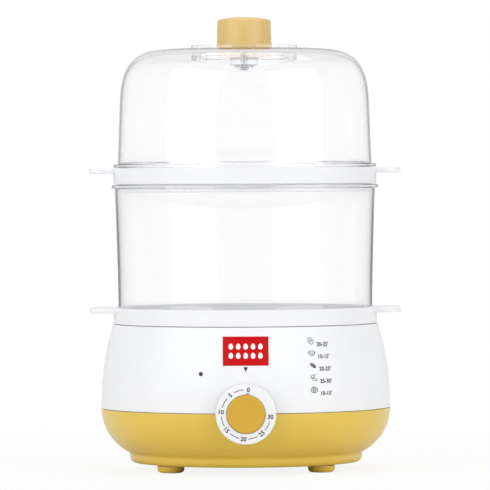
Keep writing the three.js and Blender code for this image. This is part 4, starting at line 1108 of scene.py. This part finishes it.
def add_ribbon(mesh, points, width, closed=False):
    """Adds a line of a width. A closed one joins its last point to its first."""
    if closed:
        points = [points[-1], *points, points[0]]
    left, right = offset(points, width / 2), offset(points, -width / 2)
    if closed:
        left, right = left[1:-1], right[1:-1]
    rows = []
    for a, b in zip(left, right):
        corners = ((*a, -PRINT_SUNK), (*b, -PRINT_SUNK), (*b, PRINT_PROUD), (*a, PRINT_PROUD))
        rows.append([mesh.verts.new(corner) for corner in corners])
    bridge(mesh, rows, closed)
    if not closed:
        mesh.faces.new(rows[0])
        mesh.faces.new(rows[-1])


def add_patch(mesh, points):
    fill(mesh, [(points, -PRINT_SUNK), (points, PRINT_PROUD)])


def on_housing(turn, height, base=0):
    """Lays a flat print on the upper housing, turned to the right by so many degrees."""
    def place(along, up, out):
        level = height + up
        around = radians(turn) + along / upper_radius(level)
        radius = upper_radius(level) + base + out
        return radius * sin(around), -radius * cos(around), level

    return place


def lay(name, mesh, place, body="base", slot="dark_plastic", finish="print_ink"):
    for vertex in mesh.verts:
        vertex.co = place(*vertex.co)
    dress(as_object(mesh, name), body, slot, finish)


def dial_print():
    radius, digit_height, weight, step, margin, stroke = 0.01405, 0.0026, 0.03, 45, 10.5, 0.00042
    mesh = bmesh.new()
    for i, minutes in enumerate(DIAL_MINUTES):
        angle = 90 + i * step
        place = polar(radius, angle)
        add_text(mesh, str(minutes), digit_height, *place, DIGIT_LEANS.get(minutes, 0), weight)
        if minutes < DIAL_MINUTES[-1]:
            start, end = angle + margin, angle + step - margin
            add_ribbon(mesh, arc((0, 0), radius, start, end, 2 * ARC_STEPS), stroke)
    turned = Matrix.Rotation(radians(-DIAL_REST_TURN), 3, "Z")

    def place(along, up, out):
        x, y, _ = turned @ Vector((along, up, 0))
        return x, -(DIAL_BACK + DIAL_DEPTH) - out, DIAL_HEIGHT + y

    lay("dial_print", mesh, place, "dial")


def oval(width, height, start=0, end=360, steps=28, slim=0):
    """An ellipse or a part of one, or an egg, which is slimmer at its top by a share."""
    turns = [radians(start + (end - start) * i / steps) for i in range(steps + (end - start < 360))]
    across, up = width / 2, height / 2
    return [(across * (1 - slim * sin(turn)) * cos(turn), up * sin(turn)) for turn in turns]


def leaned(points, angle, x=0, y=0):
    turned = Matrix.Rotation(radians(angle), 2)
    return [tuple(turned @ Vector(point) + Vector((x, y))) for point in points]


egg_shape = partial(oval, steps=32, slim=0.14)
# Each pictogram is its closed lines and its open ones, in shares of its width
EGG = [leaned(egg_shape(0.72, 0.92), 38), oval(0.3, 0.3)], []
BOWL = [leaned(oval(1, 0.3), 0, 0, 0.14)], [
    leaned(oval(1, 0.9, 180, 360), 0, 0, 0.14), [(-0.2, -0.32), (0.2, -0.32)],
]
CORN = [oval(1, 0.42)], [
    *([(-0.32, y), (0.42, y)] for y in (-0.07, 0.07)),
    *([(x, -0.17), (x, 0.17)] for x in (-0.15, 0, 0.15, 0.3)),
]
LEANING_CORN = [[leaned(points, -32) for points in lines] for lines in CORN]
POTATOES = [leaned(oval(0.78, 0.34), 28, -0.1, 0.18), leaned(oval(0.6, 0.36), -14, 0.12, -0.24)], []
DUMPLING = [oval(1, 0.78)], [
    leaned([(0.1, 0), (0.34, 0.06)], angle, 0, 0.02) for angle in range(0, 360, 45)
]
LEGEND_ROWS = [
    (EGG, "20-25'"), (BOWL, "10-15'"), (LEANING_CORN, "20-25'"), (POTATOES, "25-30'"),
    (DUMPLING, "10-15'"),
]


def legend():
    """Five rows of a pictogram and its minutes."""
    top, pitch, icon_turn, text_turn = 0.0772, 0.00698, 27.7, 33.2
    digit_height, drop, weight, stroke, size = 0.0025, 0.0019, 0.03, 0.00034, 0.0042
    for row, (icon, minutes) in enumerate(LEGEND_ROWS):
        height = top - row * pitch
        picture, words = bmesh.new(), bmesh.new()
        for closed, lines in zip((True, False), icon):
            for points in lines:
                add_ribbon(picture, [(x * size, y * size) for x, y in points], stroke, closed)
        add_text(words, minutes, digit_height, 0, -drop, weight=weight)
        lay(f"legend_picture_{row + 1}", picture, on_housing(icon_turn, height))
        lay(f"legend_minutes_{row + 1}", words, on_housing(text_turn, height))


def pointing_mark():
    mark_height, half_width, half_depth = 0.0614, 0.00125, 0.0014
    mesh = bmesh.new()
    add_patch(mesh, [(-half_width, half_depth), (0, -half_depth), (half_width, half_depth)])
    lay("pointing_mark", mesh, on_housing(0, mark_height))


def badge():
    """A curved enamel plate with two rows of small eggs."""
    level, width, depth, thickness, edge, steps = 0.0719, 0.0262, 0.0165, 0.0004, 0.00025, 16
    eggs, egg_width, slimness, egg_pitch, row_pitch = 5, 0.0026, 1.32, 0.0042, 0.0052

    def lines(length):
        inner = between(-length / 2 + edge, length / 2 - edge, lambda value: value, steps)
        return [-length / 2, *inner, length / 2]

    mesh = bmesh.new()
    columns, rows = lines(width), lines(depth)
    right, top = len(columns) - 1, len(rows) - 1
    layers = []
    for is_face in (False, True):
        layer = {}
        for (i, x), (j, y) in product(enumerate(columns), enumerate(rows)):
            out = thickness - (edge if i in (0, right) or j in (0, top) else 0)
            layer[i, j] = mesh.verts.new((x, y, out if is_face else -PRINT_SUNK))
        for i, j in product(range(right), range(top)):
            corners = (i, j), (i + 1, j), (i + 1, j + 1), (i, j + 1)
            mesh.faces.new([layer[place] for place in corners])
        layers.append(layer)
    around = [(i, 0) for i in range(right)] + [(right, j) for j in range(top)]
    around += [(i, top) for i in range(right, 0, -1)] + [(0, j) for j in range(top, 0, -1)]
    bridge(mesh, [[layer[place] for place in around] for layer in layers])
    lay("badge_plate", mesh, on_housing(0, level), slot="yellow_plastic", finish="badge_enamel")

    drawing = bmesh.new()
    egg = egg_shape(egg_width, egg_width * slimness)
    for column, row in product(range(eggs), (-0.5, 0.5)):
        along = (column - (eggs - 1) / 2) * egg_pitch
        add_patch(drawing, leaned(egg, 0, along, row * row_pitch))
    face = on_housing(0, level, thickness)
    lay("badge_eggs", drawing, face, slot="white_plastic", finish="badge_ink")


# Studio

AMBIENT = 0.42
BEHIND_RANGE, MIRRORED_BEHIND = (-0.3, 0.5), 0.8
ABOVE_RANGE, WORLD_ABOVE = (0.3, 0.9), 0.7
# Each lamp's place, width, height and power
LAMPS = {
    "key": ((-1.8, -1.5, 1.05), 2.3, 2.3, 29),
    "fill": ((1.85, -1.5, 1), 2.3, 2.3, 27),
    "top": ((0.1, 0.2, 2.3), 2, 2, 14),
    "rear": ((0.5, 2.3, 1.2), 1.8, 1.4, 20),
}
LAMP_AIM = Vector((0, 0, 0.12))


def surround(tree):
    """Soft light all round, which the camera, gloss and clear plastic show as white."""
    path = add(tree, "LightPath")
    most = partial(maths, tree, "MAXIMUM")
    _, forward, up = add(tree, "SeparateXYZ", {0: add(tree, "TexCoord")["Generated"]})
    through = most(path["Is Camera Ray"], path["Is Transmission Ray"])
    mirrored = most(through, ramp(tree, forward, *BEHIND_RANGE, 1, MIRRORED_BEHIND))
    faded = maths(tree, "MULTIPLY", mirrored, ramp(tree, up, *ABOVE_RANGE, 1, WORLD_ABOVE))
    ambient, shown = (
        add(tree, "Background", {"Color": WHITE, "Strength": strength})[0]
        for strength in (AMBIENT, most(path["Is Camera Ray"], faded))
    )
    return [mixed(tree, most(through, path["Is Glossy Ray"]), ambient, shown)]


def studio():
    floor_radius, floor_depth, segments = 9, 0.01, 64
    bpy.context.scene.world = shaded(bpy.data.worlds.new("studio"), "OutputWorld", surround)
    floor = disc(floor_radius, -floor_depth, 0, segments=segments)
    floor.name = "floor"
    paint(floor, "studio_floor")
    for name, (place, *values) in LAMPS.items():
        data = bpy.data.lights.new(name, "AREA")
        data.shape = "RECTANGLE"
        data.size, data.size_y, data.energy = values
        lamp = in_scene(name, data)
        lamp.location = place
        lamp.rotation_euler = (LAMP_AIM - Vector(place)).to_track_quat("-Z", "Y").to_euler()
        lamp.visible_transmission = lamp.visible_glossy = name != "rear"


def camera():
    place, pitch, roll = (-0.00005, -2.87, 0.1752), 0.88, 0.286
    data = bpy.data.cameras.new("camera")
    data.sensor_width, data.lens = 36, 359.9
    seen = in_scene("camera", data)
    level = Matrix.Rotation(radians(90 - pitch), 4, "X")
    rolled = Matrix.Rotation(radians(-roll), 4, "Z")
    seen.matrix_world = Matrix.Translation(place) @ level @ rolled
    bpy.context.scene.camera = seen


for node, slot in SLOTS.items():
    paint(frame["nodes"][node], slot)
trays()
steam_ring()
lid_cover()
lid_knob()
flat_ring("lid_knob_washer", HOLE_RADIUS, 2 * HEAD_RADIUS, 1 / 4, COARSE, "lid_washer_fine")
upper_housing()
lower_housing()
feet()
heating_pan()
SEAL_BORE = (BORE_RADIUS + LEDGE_BORE - SEAL_WIDTH) / 2
flat_ring("pan_seal", SEAL_BORE, SEAL_BORE + SEAL_WIDTH, 1 / 3)
timer_dial()
dial_cap()
indicator_lens()
cord_gland()
screws()
dial_print()
legend()
pointing_mark()
badge()
studio()
camera()
bpy.context.scene.view_settings.view_transform = "Standard"
